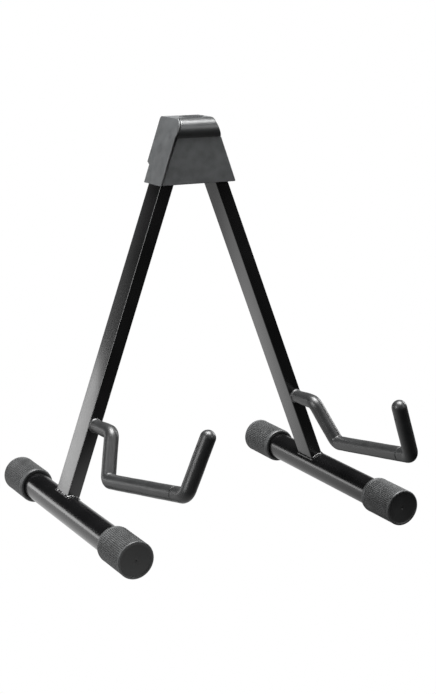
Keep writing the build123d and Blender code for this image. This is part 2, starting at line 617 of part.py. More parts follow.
def make_leg_assembly():
    """Every piece of one leg, in the leg's own frame."""
    cap = make_foot_cap()
    return {
        "leg_tube": make_leg_tube(),
        "leg_top_plug": make_leg_top_plug(),
        "hinge_bush": make_hinge_bush(),
        "foot_tube": make_foot_tube(),
        "foot_weld": make_foot_weld(),
        "front_foot_cap": Pos(0, -FOOT_FRONT, 0) * cap,
        "rear_foot_cap": Pos(0, REAR_REACH, 0) * Rot(0, 0, 180) * cap,
        "arm_rod": make_arm_rod(),
        "arm_sleeve": make_arm_sleeve(),
        "arm_end_sleeve": make_arm_end_sleeve(),
    }


def make_stand():
    """All nodes of the stand by name; a list is a group of separate solids."""
    nodes = {
        "head_housing": make_housing(),
        "head_front_cover": make_front_cover(),
        "head_bumper_pad": make_bumper_pad(),
        "head_rear_cover": make_rear_cover(),
        "head_rear_screws": make_rear_screws(),
        "hinge_bolts": make_hinge_bolts(),
        "hinge_nuts": make_hinge_nuts(),
        "hinge_washers": make_hinge_washers(),
    }
    leg_pieces = make_leg_assembly()
    for name, side in SIDES.items():
        place = side_frame(side)
        for piece, solid in leg_pieces.items():
            nodes[f"{name}_{piece}"] = place * solid
    return nodes


def write_steps(nodes):
    """One STEP file per node."""
    os.makedirs("parts", exist_ok=True)
    for name, shape in nodes.items():
        solids = shape if isinstance(shape, list) else [shape]
        group = Compound(children=[solid for item in solids for solid in item.solids()])
        export_step(group, f"parts/{name}.step")
        box = group.bounding_box()
        print(f"{name:24s} solids {len(group.solids())}  volume {group.volume:10.1f}  "
              f"x {box.min.X:7.1f} {box.max.X:7.1f}  y {box.min.Y:7.1f} {box.max.Y:7.1f}  "
              f"z {box.min.Z:7.1f} {box.max.Z:7.1f}")


print(f"spread {math.degrees(SPREAD):.2f} deg, hinge y {HINGE_Y:.3f}")
write_steps(make_stand())
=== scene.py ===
"""Looks of a folding A-frame guitar stand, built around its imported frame.

Everything is in metres.  +X runs from the stand's left leg to its right leg, -Y is the front,
where the arms reach out, and +Z is up.  Each visible part of the frame gets a finished surface
that rides on the same body, and every part gets a procedural material.
"""
from __future__ import annotations

import json
import logging
import math
from dataclasses import dataclass
from enum import Enum

import bmesh
import bpy
import numpy as np
from mathutils import Matrix, Vector


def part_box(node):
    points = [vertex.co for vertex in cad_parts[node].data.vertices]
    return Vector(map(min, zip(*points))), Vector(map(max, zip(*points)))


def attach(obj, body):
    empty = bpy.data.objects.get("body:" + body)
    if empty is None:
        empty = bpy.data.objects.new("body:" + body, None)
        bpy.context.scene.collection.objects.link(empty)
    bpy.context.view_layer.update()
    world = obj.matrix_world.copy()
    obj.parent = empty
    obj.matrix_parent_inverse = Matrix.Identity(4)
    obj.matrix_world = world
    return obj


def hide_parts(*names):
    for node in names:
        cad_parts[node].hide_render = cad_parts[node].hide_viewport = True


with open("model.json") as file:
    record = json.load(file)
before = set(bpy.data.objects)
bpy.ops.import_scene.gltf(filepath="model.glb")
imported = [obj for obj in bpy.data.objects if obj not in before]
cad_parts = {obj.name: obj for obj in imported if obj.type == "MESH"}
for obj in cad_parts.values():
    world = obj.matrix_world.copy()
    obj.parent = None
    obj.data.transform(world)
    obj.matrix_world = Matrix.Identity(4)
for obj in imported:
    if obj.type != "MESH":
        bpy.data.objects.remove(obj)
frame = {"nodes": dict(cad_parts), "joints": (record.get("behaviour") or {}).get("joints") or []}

log = logging.getLogger("guitar_stand")
Array = np.ndarray
Place = tuple[float, float, float]
Colour = tuple[float, float, float]
Span = tuple[float, float]
MM = 0.001
EDGE_STEPS = 6                      # rows on the quarter circle of a rounded edge
SHARP = math.radians(50)            # edges sharper than this stay crisp on tubes and the pad


# ------------------------------------------------------------------ mesh kit

def closed_mesh(name: str, grid: Array, wrap_rows: bool = False,
                relief: Array | None = None) -> bpy.types.Object:
    """Makes a grid whose columns close on themselves one closed mesh with outward faces.

    A quad joins (row, column) to the next column and the next row.  A grid whose rows don't
    wrap has a many-sided flat face at each end.  The volume is the sum over triangles of
    (a x b) . c / 6; where it is negative every face is turned round.

    Args:
        name: Name of the object and its mesh.
        grid: Places of shape (rows, columns, 3).
        wrap_rows: Joins the last row to the first, as on a ring or a hollow tube.
        relief: Value per vertex of shape (rows, columns) that paints shade: 0 in a groove, painted darkest,
            and 1 on a crest, not darkened.

    Returns:
        The new object, linked to the scene at the origin.
    """
    rows, cols = grid.shape[:2]
    number = np.arange(rows * cols).reshape(rows, cols)
    lower = number if wrap_rows else number[:-1]
    upper = np.roll(number, -1, axis=0) if wrap_rows else number[1:]
    quads = np.stack([lower, np.roll(lower, -1, axis=1), np.roll(upper, -1, axis=1), upper], axis=-1)
    ends = [] if wrap_rows else [number[0][::-1], number[-1]]
    loops = np.concatenate([quads.ravel(), *ends])
    totals = np.concatenate([np.full(lower.size, 4), np.full(len(ends), cols)])
    starts = np.concatenate([[0], np.cumsum(totals)[:-1]])
    points = grid.reshape(-1, 3)
    owner = np.repeat(np.arange(len(totals)), totals)
    place = np.arange(len(loops)) - starts[owner]
    if signed_volume(points, loops, starts[owner], place, totals[owner]) < 0:
        loops = loops[starts[owner] + totals[owner] - 1 - place]
    mesh = bpy.data.meshes.new(name)
    mesh.vertices.add(len(points))
    mesh.vertices.foreach_set("co", points.astype(np.float32).ravel())
    mesh.loops.add(len(loops))
    mesh.loops.foreach_set("vertex_index", loops.astype(np.int32))
    mesh.polygons.add(len(totals))
    mesh.polygons.foreach_set("loop_start", starts.astype(np.int32))
    mesh.polygons.foreach_set("loop_total", totals.astype(np.int32))
    mesh.polygons.foreach_set("use_smooth", np.arange(len(totals)) < lower.size)
    # Pieces given no painted shade value get 1 everywhere: no painted shade.
    set_relief(mesh, np.ones(len(points)) if relief is None else relief.ravel())
    mesh.update(calc_edges=True)
    mesh.validate()
    piece = bpy.data.objects.new(name, mesh)
    bpy.context.scene.collection.objects.link(piece)
    return piece


def signed_volume(points: Array, loops: Array, first: Array, place: Array, total: Array) -> float:
    """Signed volume of a closed surface, from a fan of triangles in each face.

    Args:
        points: Vertex places of shape (n, 3).
        loops: Vertex number of each face corner.
        first: For each corner, where its face starts.
        place: For each corner, its place in its face.
        total: For each corner, the corner count of its face.

    Returns:
        The volume, positive where the faces look outwards.
    """
    inner = np.flatnonzero((place > 0) & (place < total - 1))
    apex, here, after = points[loops[first[inner]]], points[loops[inner]], points[loops[inner + 1]]
    return float(np.einsum("ij,ij->i", np.cross(apex, here), after).sum() / 6)


def set_relief(mesh: bpy.types.Mesh, values: Array) -> None:
    """Stores the painted shade value that the finishes read, one value per vertex: lower values paint the
    colour darker as shade.
    """
    relief = mesh.attributes.new("relief", "FLOAT", "POINT")
    relief.data.foreach_set("value", values.astype(np.float32))


def rounded_loop(corners: list[tuple[float, float, float]], per_corner: int) -> Array:
    """Closed outline of straight runs and tangent arcs, counter-clockwise.

    Each corner point is given with its radius.  The arc starts and ends at
    radius / tan(half the corner's angle) from the corner, and its points are spread evenly by
    angle about its centre.

    Args:
        corners: Points (a, b) with the rounding radius of each.
        per_corner: Points on each arc.

    Returns:
        Points of shape (n, 2).
    """
    places = np.array([c[:2] for c in corners])
    radii = np.array([c[2] for c in corners])
    before = np.roll(places, 1, axis=0) - places
    after = np.roll(places, -1, axis=0) - places
    before /= np.linalg.norm(before, axis=1)[:, None]
    after /= np.linalg.norm(after, axis=1)[:, None]
    half = np.arccos(np.clip((before * after).sum(1), -1, 1)) / 2
    centre = places + (before + after) / np.linalg.norm(before + after, axis=1)[:, None] * (
        radii / np.sin(half))[:, None]
    start = places + before * (radii / np.tan(half))[:, None] - centre
    end = places + after * (radii / np.tan(half))[:, None] - centre
    first = np.arctan2(start[:, 1], start[:, 0])
    sweep = np.angle(np.exp(1j * (np.arctan2(end[:, 1], end[:, 0]) - first)))
    angle = first[:, None] + sweep[:, None] * np.linspace(0, 1, per_corner)[None, :]
    arc = np.stack([np.cos(angle), np.sin(angle)], axis=-1) * radii[:, None, None]
    return (centre[:, None, :] + arc).reshape(-1, 2)


def loop_normals(loop: Array) -> Array:
    """Outward unit normals of a closed outline: its direction turned by a right angle.

    Args:
        loop: Counter-clockwise outline of shape (n, 2).

    Returns:
        Normals of shape (n, 2).
    """
    along = np.roll(loop, -1, axis=0) - np.roll(loop, 1, axis=0)
    normal = np.stack([along[:, 1], -along[:, 0]], axis=1)
    return normal / np.maximum(np.linalg.norm(normal, axis=1), 1e-12)[:, None]


def rounding(radius: float, steps: int) -> Array:
    """Pairs (inset, depth) that round an edge over: a quarter circle by angle.

    Args:
        radius: Radius of the rounding.
        steps: Number of rows on the quarter circle.

    Returns:
        Pairs of shape (steps, 2), from the face towards the side.
    """
    angle = np.linspace(0, math.pi / 2, steps)
    return np.stack([radius * (1 - np.sin(angle)), radius * (1 - np.cos(angle))], axis=1)


def plate_rows(loop: Array, thickness: float, edge: float) -> Array:
    """Rows of a flat plate with rounded edges on both faces.

    The outline is drawn in along its own normals by an inset, and each row lies at a depth:
    a narrow flat ring and the front rounding, then the same mirrored at the back.

    Args:
        loop: Counter-clockwise outline of shape (n, 2).
        thickness: Thickness of the plate.
        edge: Radius of the edge rounding.

    Returns:
        Points (a, b, depth) of shape (rows, n, 3), with depth from 0 to thickness.
    """
    ring = np.array([[2.2 * edge, 0.0], [1.25 * edge, 0.0]])
    front = np.concatenate([ring, rounding(edge, EDGE_STEPS)])
    pairs = np.concatenate([front, front[::-1] * [1, -1] + [0, thickness]])
    normal = loop_normals(loop)
    flat = loop[None] - normal[None] * pairs[:, 0][:, None, None]
    depth = np.broadcast_to(pairs[:, 1][:, None, None], flat.shape[:2] + (1,))
    return np.concatenate([flat, depth], axis=-1)


@dataclass
class BentLine:
    """A line in a plane: straight runs joined by tangent arcs, measured by its own length.

    Attributes:
        corners: Corner points (y, z), the ends included.
        radii: Bend radius at each inner corner.
    """

    corners: Array
    radii: tuple[float, ...]

    def __post_init__(self) -> None:
        """Works out each run and arc: start, direction, length, and centre and turn of arcs."""
        points = np.asarray(self.corners, float)
        runs = np.diff(points, axis=0)
        lengths = np.linalg.norm(runs, axis=1)
        ways = runs / lengths[:, None]
        turns = np.arctan2(ways[:-1, 0] * ways[1:, 1] - ways[:-1, 1] * ways[1:, 0],
                           (ways[:-1] * ways[1:]).sum(1))
        cut = np.array(self.radii) * np.tan(np.abs(turns) / 2)
        before = np.concatenate([[0], cut])
        after = np.concatenate([cut, [0]])
        self.spans: list[tuple[float, Array, Array, float]] = []
        for index, way in enumerate(ways):
            start = points[index] + way * before[index]
            self.spans.append((lengths[index] - before[index] - after[index], start, way, 0.0))
            if index < len(turns):
                corner = points[index + 1] - way * cut[index]
                arc = self.radii[index] * abs(turns[index])
                self.spans.append((arc, corner, way, turns[index] / arc))
        self.starts = np.concatenate([[0], np.cumsum([span[0] for span in self.spans])])
        self.length = float(self.starts[-1])

    def at(self, along: Array) -> tuple[Array, Array]:
        """Places and directions at distances along the line.

        On a run the place is start + way * t.  On an arc of curvature k it is
        start + way * sin(k t) / k + side * (1 - cos(k t)) / k, with side square to way.

        Args:
            along: Distances of any shape; past an end the line goes on straight.

        Returns:
            Places and unit directions, each with one more axis of two numbers.
        """
        along = np.asarray(along, float)
        place = np.zeros(along.shape + (2,))
        way = np.zeros(along.shape + (2,))
        last = len(self.spans) - 1
        for index, (length, start, direction, bend) in enumerate(self.spans):
            low = -np.inf if index == 0 else self.starts[index]
            high = np.inf if index == last else self.starts[index + 1]
            here = (along >= low) & (along < high)
            t = along[here] - self.starts[index]
            side = np.array([-direction[1], direction[0]])
            if bend == 0.0:
                place[here] = start + direction * t[:, None]
                way[here] = direction
                continue
            turn = (bend * t)[:, None]
            place[here] = start + direction * np.sin(turn) / bend + side * (1 - np.cos(turn)) / bend
            way[here] = direction * np.cos(turn) + side * np.sin(turn)
        return place, way


def carry_circle(line: BentLine, along: Array, radius: Array, angle: Array) -> Array:
    """Circle carried along a bent line in the plane x = 0.

    A point is centre + radius * (cos(angle) * side + sin(angle) * X), with side square to the
    line in its plane.

    Args:
        line: The centre line.
        along: Distance along the line, of shape (rows, columns).
        radius: Radius, of the same shape.
        angle: Angle round the line of each column, of shape (1, columns).

    Returns:
        Points of shape (rows, columns, 3).
    """
    place, way = line.at(along)
    side = np.stack([-way[..., 1], way[..., 0]], axis=-1)
    flat = place + side * (radius * np.cos(angle))[..., None]
    return np.stack([radius * np.sin(angle), flat[..., 0], flat[..., 1]], axis=-1)


def lathe(profile: Array, columns: int, axis_x: float, axis_z: float) -> Array:
    """Profile turned about a line along Y.

    Args:
        profile: Points (radius, y) of shape (rows, 2).
        columns: Points round the axis.
        axis_x: X of the axis.
        axis_z: Z of the axis.

    Returns:
        Points of shape (rows, columns, 3).
    """
    angle = np.linspace(0, 2 * math.pi, columns, endpoint=False)
    radius = profile[:, 0][:, None]
    y = np.broadcast_to(profile[:, 1][:, None], (len(profile), columns))
    return np.stack([axis_x + radius * np.cos(angle), y, axis_z + radius * np.sin(angle)], axis=-1)


# ------------------------------------------------------------------ shader groups

FINE_TIMES = 3.0                    # the fine grain's noise is this much finer
FINE_SHARE = 0.33                   # and adds this share of its height
HAIR_STRETCH = (9.0, 0.6, 9.0)      # hairlines are this much finer across than along
PATCH_CUT = (0.52, 0.75)            # noise values between which a rubbed patch fades in
HAIR_CUT = (0.6, 0.72)              # the same for hairlines
LOOKS_UP = (0.35, 1.0)              # heights of the normal between which dust settles
MARKS_ROUGHEN = 0.3                 # roughness that full handling marks add

Socket = bpy.types.NodeSocket
Value = float | Socket


def feed(tree: bpy.types.NodeTree, socket: Socket, value: Value | Colour) -> None:
    """Gives an input a number or a colour, or links it to an output.

    Args:
        tree: The node tree.
        socket: The input.
        value: A number, a colour or an output.
    """
    if isinstance(value, Socket):
        tree.links.new(value, socket)
    else:
        socket.default_value = (*value, 1.0) if isinstance(value, tuple) else value


def maths(tree: bpy.types.NodeTree, operation: str, *values: Value, clamp: bool = False) -> Socket:
    """Adds a maths node.

    Args:
        tree: The node tree.
        operation: What it does.
        values: Its operands.
        clamp: Holds the result between 0 and 1.

    Returns:
        The result.
    """
    made = tree.nodes.new("ShaderNodeMath")
    made.operation = operation
    made.use_clamp = clamp
    for socket, value in zip(made.inputs, values):
        feed(tree, socket, value)
    return made.outputs[0]


def map_range(tree: bpy.types.NodeTree, value: Socket, source: Span, target: Span = (0.0, 1.0),
              smooth: bool = False) -> Socket:
    """Maps one range of a value to another and holds it there at both ends.

    Args:
        tree: The node tree.
        value: The value to map.
        source: Range of the value.
        target: Results at the two ends of that range.
        smooth: Follows a smooth step between them, not a straight line.

    Returns:
        The mapped value.
    """
    made = tree.nodes.new("ShaderNodeMapRange")
    made.interpolation_type = "SMOOTHSTEP" if smooth else "LINEAR"
    made.inputs["From Min"].default_value, made.inputs["From Max"].default_value = source
    made.inputs["To Min"].default_value, made.inputs["To Max"].default_value = target
    tree.links.new(value, made.inputs["Value"])
    return made.outputs["Result"]


def split_axes(tree: bpy.types.NodeTree, vector: Socket) -> bpy.types.NodeOutputs:
    """Splits a vector into its X, Y and Z outputs.

    Args:
        tree: The node tree.
        vector: The vector.

    Returns:
        The outputs, found by name.
    """
    made = tree.nodes.new("ShaderNodeSeparateXYZ")
    tree.links.new(vector, made.inputs["Vector"])
    return made.outputs


def colour_mix(tree: bpy.types.NodeTree, factor: Socket, low: Value | Colour,
               high: Colour) -> Socket:
    """Colour between two colours by a factor.

    Args:
        tree: The node tree.
        factor: 0 for low and 1 for high.
        low: The first colour, or an output that gives it.
        high: The second colour.

    Returns:
        The mixed colour.
    """
    made = tree.nodes.new("ShaderNodeMix")
    made.data_type = "RGBA"
    tree.links.new(factor, made.inputs["Factor"])
    feed(tree, made.inputs["A"], low)
    feed(tree, made.inputs["B"], high)
    return made.outputs["Result"]


class GroupMaker:
    """Small helper that builds shader node groups with named sockets."""

    def __init__(self, name: str, inputs: dict[str, float], outputs: tuple[str, ...]) -> None:
        """Makes an empty group.

        Args:
            name: Name of the group.
            inputs: Input names with their default values.
            outputs: Names of the value outputs.
        """
        self.tree = bpy.data.node_groups.new(name, "ShaderNodeTree")
        for label, default in inputs.items():
            socket = self.tree.interface.new_socket(label, in_out="INPUT", socket_type="NodeSocketFloat")
            socket.default_value = default
        for label in outputs:
            self.tree.interface.new_socket(label, in_out="OUTPUT", socket_type="NodeSocketFloat")
        self.inputs = self.tree.nodes.new("NodeGroupInput").outputs
        self.outputs = self.tree.nodes.new("NodeGroupOutput").inputs
        self.place = self.tree.nodes.new("ShaderNodeTexCoord").outputs["Object"]

    def noise(self, place: Socket, scale: Socket, detail: float) -> Socket:
        """Adds a noise texture and returns its value.

        Args:
            place: Where the noise is read.
            scale: Its scale, per metre.
            detail: Its number of finer layers.

        Returns:
            The noise's value.
        """
        made = self.tree.nodes.new("ShaderNodeTexNoise")
        made.inputs["Detail"].default_value = detail
        self.tree.links.new(place, made.inputs["Vector"])
        self.tree.links.new(scale, made.inputs["Scale"])
        return made.outputs["Fac"]


class Effect(Enum):
    """The shared surface effects."""

    GRAIN = "surface_grain"
    HANDLING = "handling_marks"
    DUST = "settled_dust"


def grain_group() -> bpy.types.NodeTree:
    """Fine moulded or sprayed grain.

    Height is noise at the given scale plus a third of a noise three times finer; Cloud is a
    slow noise for gentle changes of tone.

    Returns:
        The group's node tree.
    """
    kit = GroupMaker(Effect.GRAIN.value, {"Scale": 900.0, "Cloud Scale": 25.0}, ("Height", "Cloud"))
    coarse = kit.noise(kit.place, kit.inputs["Scale"], 2.0)
    fine = kit.noise(kit.place, maths(kit.tree, "MULTIPLY", kit.inputs["Scale"], FINE_TIMES), 1.0)
    height = maths(kit.tree, "ADD", coarse, maths(kit.tree, "MULTIPLY", fine, FINE_SHARE))
    kit.tree.links.new(height, kit.outputs["Height"])
    kit.tree.links.new(kit.noise(kit.place, kit.inputs["Cloud Scale"], 3.0), kit.outputs["Cloud"])
    return kit.tree


def handling_group() -> bpy.types.NodeTree:
    """Faint rubbed patches and hairline marks, as one mask from 0 upwards.

    Patches are a slow noise cut at a level; hairlines are a noise stretched along Y.

    Returns:
        The group's node tree.
    """
    kit = GroupMaker(Effect.HANDLING.value, {"Scale": 40.0, "Amount": 0.3}, ("Mask",))
    stretch = kit.tree.nodes.new("ShaderNodeMapping")
    stretch.inputs["Scale"].default_value = HAIR_STRETCH
    kit.tree.links.new(kit.place, stretch.inputs["Vector"])
    patch = map_range(kit.tree, kit.noise(kit.place, kit.inputs["Scale"], 4.0), PATCH_CUT)
    hair = map_range(kit.tree, kit.noise(stretch.outputs["Vector"], kit.inputs["Scale"], 6.0), HAIR_CUT)
    both = maths(kit.tree, "ADD", patch, hair)
    kit.tree.links.new(maths(kit.tree, "MULTIPLY", both, kit.inputs["Amount"]), kit.outputs["Mask"])
    return kit.tree


def dust_group() -> bpy.types.NodeTree:
    """Dust that settles on faces that look up: a mask from the normal's height and a noise.

    Returns:
        The group's node tree.
    """
    kit = GroupMaker(Effect.DUST.value, {"Amount": 0.2, "Scale": 120.0}, ("Mask",))
    facing = kit.tree.nodes.new("ShaderNodeNewGeometry").outputs["Normal"]
    up = map_range(kit.tree, split_axes(kit.tree, facing)["Z"], LOOKS_UP)
    amount = maths(kit.tree, "MULTIPLY", up, kit.inputs["Amount"])
    speck = kit.noise(kit.place, kit.inputs["Scale"], 5.0)
    kit.tree.links.new(maths(kit.tree, "MULTIPLY", amount, speck), kit.outputs["Mask"])
    return kit.tree


class Effects:
    """The shared groups, each built once."""

    def __init__(self) -> None:
        """Builds the three groups."""
        self.trees = {
            Effect.GRAIN: grain_group(),
            Effect.HANDLING: handling_group(),
            Effect.DUST: dust_group(),
        }

    def place(self, tree: bpy.types.NodeTree, effect: Effect, **values: float) -> bpy.types.Node:
        """Puts one group into a material with its own values.

        Args:
            tree: The material's node tree.
            effect: Which group.
            values: Input values, with spaces in names given as underscores.

        Returns:
            The group node.
        """
        made = tree.nodes.new("ShaderNodeGroup")
        made.node_tree = self.trees[effect]
        for key, value in values.items():
            made.inputs[key.replace("_", " ")].default_value = value
        return made


# ------------------------------------------------------------------ finishes

@dataclass(frozen=True)
class Finish:
    """A coated, moulded or rubber finish.

    Attributes:
        name: Name of the material.
        deep: Colour of the darker random tone, and the painted shade in grooves and recesses.
        light: Colour on crests and rubbed tone.
        dust: Colour of settled dust.
        rough: Roughness of the clean surface.
        rough_spread: Change of roughness over the surface.
        metallic: 0 or 1.
        coat: Weight of a clear glossy layer.
        coat_rough: Roughness of that layer.
        grain_scale: Noise scale of the grain, per metre.
        grain_height: Height of the grain, in metres.
        cloud_scale: Noise scale of the slow tone changes.
        handling: Amount of rubbed marks.
        dusting: Amount of dust on upward faces.
    """

    name: str
    deep: Colour
    light: Colour
    dust: Colour = (0.32, 0.32, 0.31)
    rough: float = 0.4
    rough_spread: float = 0.1
    metallic: float = 0.0
    coat: float = 0.0
    coat_rough: float = 0.1
    grain_scale: float = 900.0
    grain_height: float = 0.00002
    cloud_scale: float = 25.0
    handling: float = 0.2
    dusting: float = 0.1

    def material(self, effects: Effects) -> bpy.types.Material:
        """Builds the material.

        Tone is painted shade relief * cloud + marks, and base colour runs from deep to light by it, then
        towards dust on upward faces; a low painted shade relief paints grooves and recesses darker as shade.
        Roughness runs from rough - spread to rough + spread by the cloud, plus 0.3 marks and the dust.  The
        grain feeds a bump.

        Args:
            effects: The shared groups.

        Returns:
            The material.
        """
        made = bpy.data.materials.new(self.name)
        made.use_nodes = True
        tree = made.node_tree
        shader = tree.nodes["Principled BSDF"]
        shader.inputs["Metallic"].default_value = self.metallic
        shader.inputs["Coat Weight"].default_value = self.coat
        shader.inputs["Coat Roughness"].default_value = self.coat_rough
        grain = effects.place(tree, Effect.GRAIN, Scale=self.grain_scale, Cloud_Scale=self.cloud_scale)
        marks = effects.place(tree, Effect.HANDLING, Amount=self.handling)
        dust = effects.place(tree, Effect.DUST, Amount=self.dusting)
        # Painted shade: the per-vertex painted shade relief pulls the colour towards deep in grooves and
        # recesses.
        relief = tree.nodes.new("ShaderNodeAttribute")
        relief.attribute_name = "relief"
        slow = maths(tree, "MULTIPLY", relief.outputs["Fac"], grain.outputs["Cloud"])
        tone = maths(tree, "ADD", slow, marks.outputs["Mask"], clamp=True)
        clean = colour_mix(tree, tone, self.deep, self.light)
        dusty = colour_mix(tree, dust.outputs["Mask"], clean, self.dust)
        tree.links.new(dusty, shader.inputs["Base Color"])
        low, high = self.rough - self.rough_spread, self.rough + self.rough_spread
        rough = map_range(tree, grain.outputs["Cloud"], (0.0, 1.0), (low, high))
        worn = maths(tree, "MULTIPLY_ADD", marks.outputs["Mask"], MARKS_ROUGHEN, rough)
        total = maths(tree, "ADD", worn, dust.outputs["Mask"], clamp=True)
        tree.links.new(total, shader.inputs["Roughness"])
        bump = tree.nodes.new("ShaderNodeBump")
        bump.inputs["Distance"].default_value = self.grain_height
        bump.inputs["Strength"].default_value = 1.0
        tree.links.new(grain.outputs["Height"], bump.inputs["Height"])
        tree.links.new(bump.outputs["Normal"], shader.inputs["Normal"])
        return made


POWDER_COAT = Finish("black_powder_coat", (0.0012, 0.0012, 0.0013), (0.003, 0.003, 0.0032), rough=0.24,
                     rough_spread=0.05, coat=0.2, coat_rough=0.1, grain_scale=700.0,
                     grain_height=0.000010, handling=0.04, dusting=0.0)
WELD_COAT = Finish("coated_weld", (0.002, 0.002, 0.002), (0.006, 0.006, 0.006), rough=0.12,
                   rough_spread=0.04, coat=0.8, coat_rough=0.05, grain_scale=900.0,
                   grain_height=0.00012, handling=0.05, dusting=0.0)
HEAD_PLASTIC = Finish("charcoal_moulded_plastic", (0.034, 0.0355, 0.0365), (0.085, 0.088, 0.09),
                      rough=0.48, rough_spread=0.1, grain_scale=900.0, grain_height=0.00006,
                      cloud_scale=110.0, handling=0.12, dusting=0.03)
PAD_RUBBER = Finish("smooth_pad_rubber", (0.018, 0.019, 0.019), (0.034, 0.035, 0.036), rough=0.34,
                    rough_spread=0.08, grain_scale=700.0, grain_height=0.00002, cloud_scale=90.0,
                    handling=0.1, dusting=0.0)
# The wide span from deep to light also paints shade in the knurl grooves and on the end face.
FOOT_RUBBER = Finish("ribbed_foot_rubber", (0.004, 0.0042, 0.0042), (0.055, 0.057, 0.058), rough=0.5,
                     rough_spread=0.08, grain_scale=1600.0, grain_height=0.00002, cloud_scale=80.0,
                     handling=0.1, dusting=0.03)
# Its deep colour is also the painted shade in the vent's pit.
SLEEVE_RUBBER = Finish("soft_sleeve_rubber", (0.005, 0.0052, 0.0053), (0.016, 0.0165, 0.017), rough=0.4,
                       rough_spread=0.06, grain_scale=900.0, grain_height=0.000018, cloud_scale=70.0,
                       handling=0.15, dusting=0.02)
ZINC_STEEL = Finish("zinc_plated_steel", (0.42, 0.42, 0.44), (0.62, 0.62, 0.64), rough=0.3,
                    metallic=1.0, grain_scale=2500.0, grain_height=0.00001, dusting=0.05)
ROD_STEEL = Finish("drawn_rod_steel", (0.30, 0.30, 0.31), (0.45, 0.45, 0.46), rough=0.35,
                   metallic=1.0, grain_scale=2000.0, grain_height=0.00001, dusting=0.0)
BUSH_BRONZE = Finish("sintered_bronze", (0.35, 0.22, 0.10), (0.5, 0.34, 0.17), rough=0.4,
                     metallic=1.0, grain_scale=3000.0, grain_height=0.00002, dusting=0.0)
WASHER_NYLON = Finish("white_nylon", (0.55, 0.54, 0.50), (0.68, 0.67, 0.63), rough=0.4,
                      grain_scale=1500.0, grain_height=0.00001, dusting=0.02)
PLUG_PLASTIC = Finish("black_plug_plastic", (0.015, 0.015, 0.015), (0.03, 0.03, 0.03), rough=0.5,
                      grain_scale=1500.0, grain_height=0.00003, dusting=0.05)


class Palette:
    """Every material, built once and found by its finish."""

    def __init__(self) -> None:
        """Builds the shared groups."""
        self.effects = Effects()
        self.made: dict[str, bpy.types.Material] = {}

    def dress(self, piece: bpy.types.Object, finish: Finish) -> bpy.types.Object:
        """Gives a piece one finish in every slot and returns the piece.

        Args:
            piece: The piece.
            finish: Its finish.

        Returns:
            The same piece.
        """
        if finish.name not in self.made:
            self.made[finish.name] = finish.material(self.effects)
        material = self.made[finish.name]
        if not piece.data.materials:
            piece.data.materials.append(material)
        for place in piece.material_slots:
            place.material = material
        return piece


# ------------------------------------------------------------------ leg assembly

class Side(Enum):
    """The two sides of the stand, with the sign of X."""

    LEFT = -1
    RIGHT = 1

    @property
    def word(self) -> str:
        """Name used in node and body names."""
        return self.name.lower()


@dataclass
class LegPlane:
    """The tilted plane of one leg, with its own frame at the foot tube's axis.

    Local Y runs along the foot, local Z up the plane and local X square to it.

    Attributes:
        side: Which leg.
        rake_deg: Backward lean of the leg tube in the plane.
    """

    side: Side
    rake_deg: float = 1.7

    def __post_init__(self) -> None:
        """Finds the foot's axis and the hinge in the frame and works out the spread."""
        low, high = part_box(f"{self.side.word}_foot_tube")
        hinge = next(j for j in frame["joints"] if j["name"] == f"{self.side.word}_leg_fold")["pos_m"]
        self.foot_radius = (high.z - low.z) / 2
        self.foot_ends = (low.y, high.y)
        axis_x, axis_z = (low.x + high.x) / 2, (low.z + high.z) / 2
        across, rise = abs(axis_x - hinge[0]), hinge[2] - axis_z
        self.spread = math.atan2(across, rise)
        self.run = math.hypot(across, rise)
        self.rake = math.radians(self.rake_deg)
        self.origin = np.array([axis_x, hinge[1] - self.run * math.tan(self.rake), axis_z])

    def to_world(self, local: Array) -> Array:
        """Turns local points about Y by the spread and moves them to the foot's axis.

        Args:
            local: Points with three numbers on their last axis.

        Returns:
            The points in the stand's frame.
        """
        turn = -self.side.value * self.spread
        x = local[..., 0] * math.cos(turn) + local[..., 2] * math.sin(turn)
        z = -local[..., 0] * math.sin(turn) + local[..., 2] * math.cos(turn)
        return np.stack([x, local[..., 1], z], axis=-1) + self.origin

    def raked(self, across: Array, deep: Array, up: Array) -> Array:
        """Local point from the leg's own width, depth and length directions.

        y = deep cos(rake) + up sin(rake) and z = up cos(rake) - deep sin(rake).

        Args:
            across: Distance along the tube's width.
            deep: Distance along its depth, positive to the back.
            up: Distance up the tube.

        Returns:
            Local points, with one more axis of three numbers.
        """
        y = deep * math.cos(self.rake) + up * math.sin(self.rake)
        z = up * math.cos(self.rake) - deep * math.sin(self.rake)
        return np.stack(np.broadcast_arrays(across, y, z), axis=-1)

    def length_at_height(self, deep: Array, height: Array) -> Array:
        """Distance up the leg at which a line at a depth reaches a height in the plane."""
        return (height + deep * math.sin(self.rake)) / math.cos(self.rake)


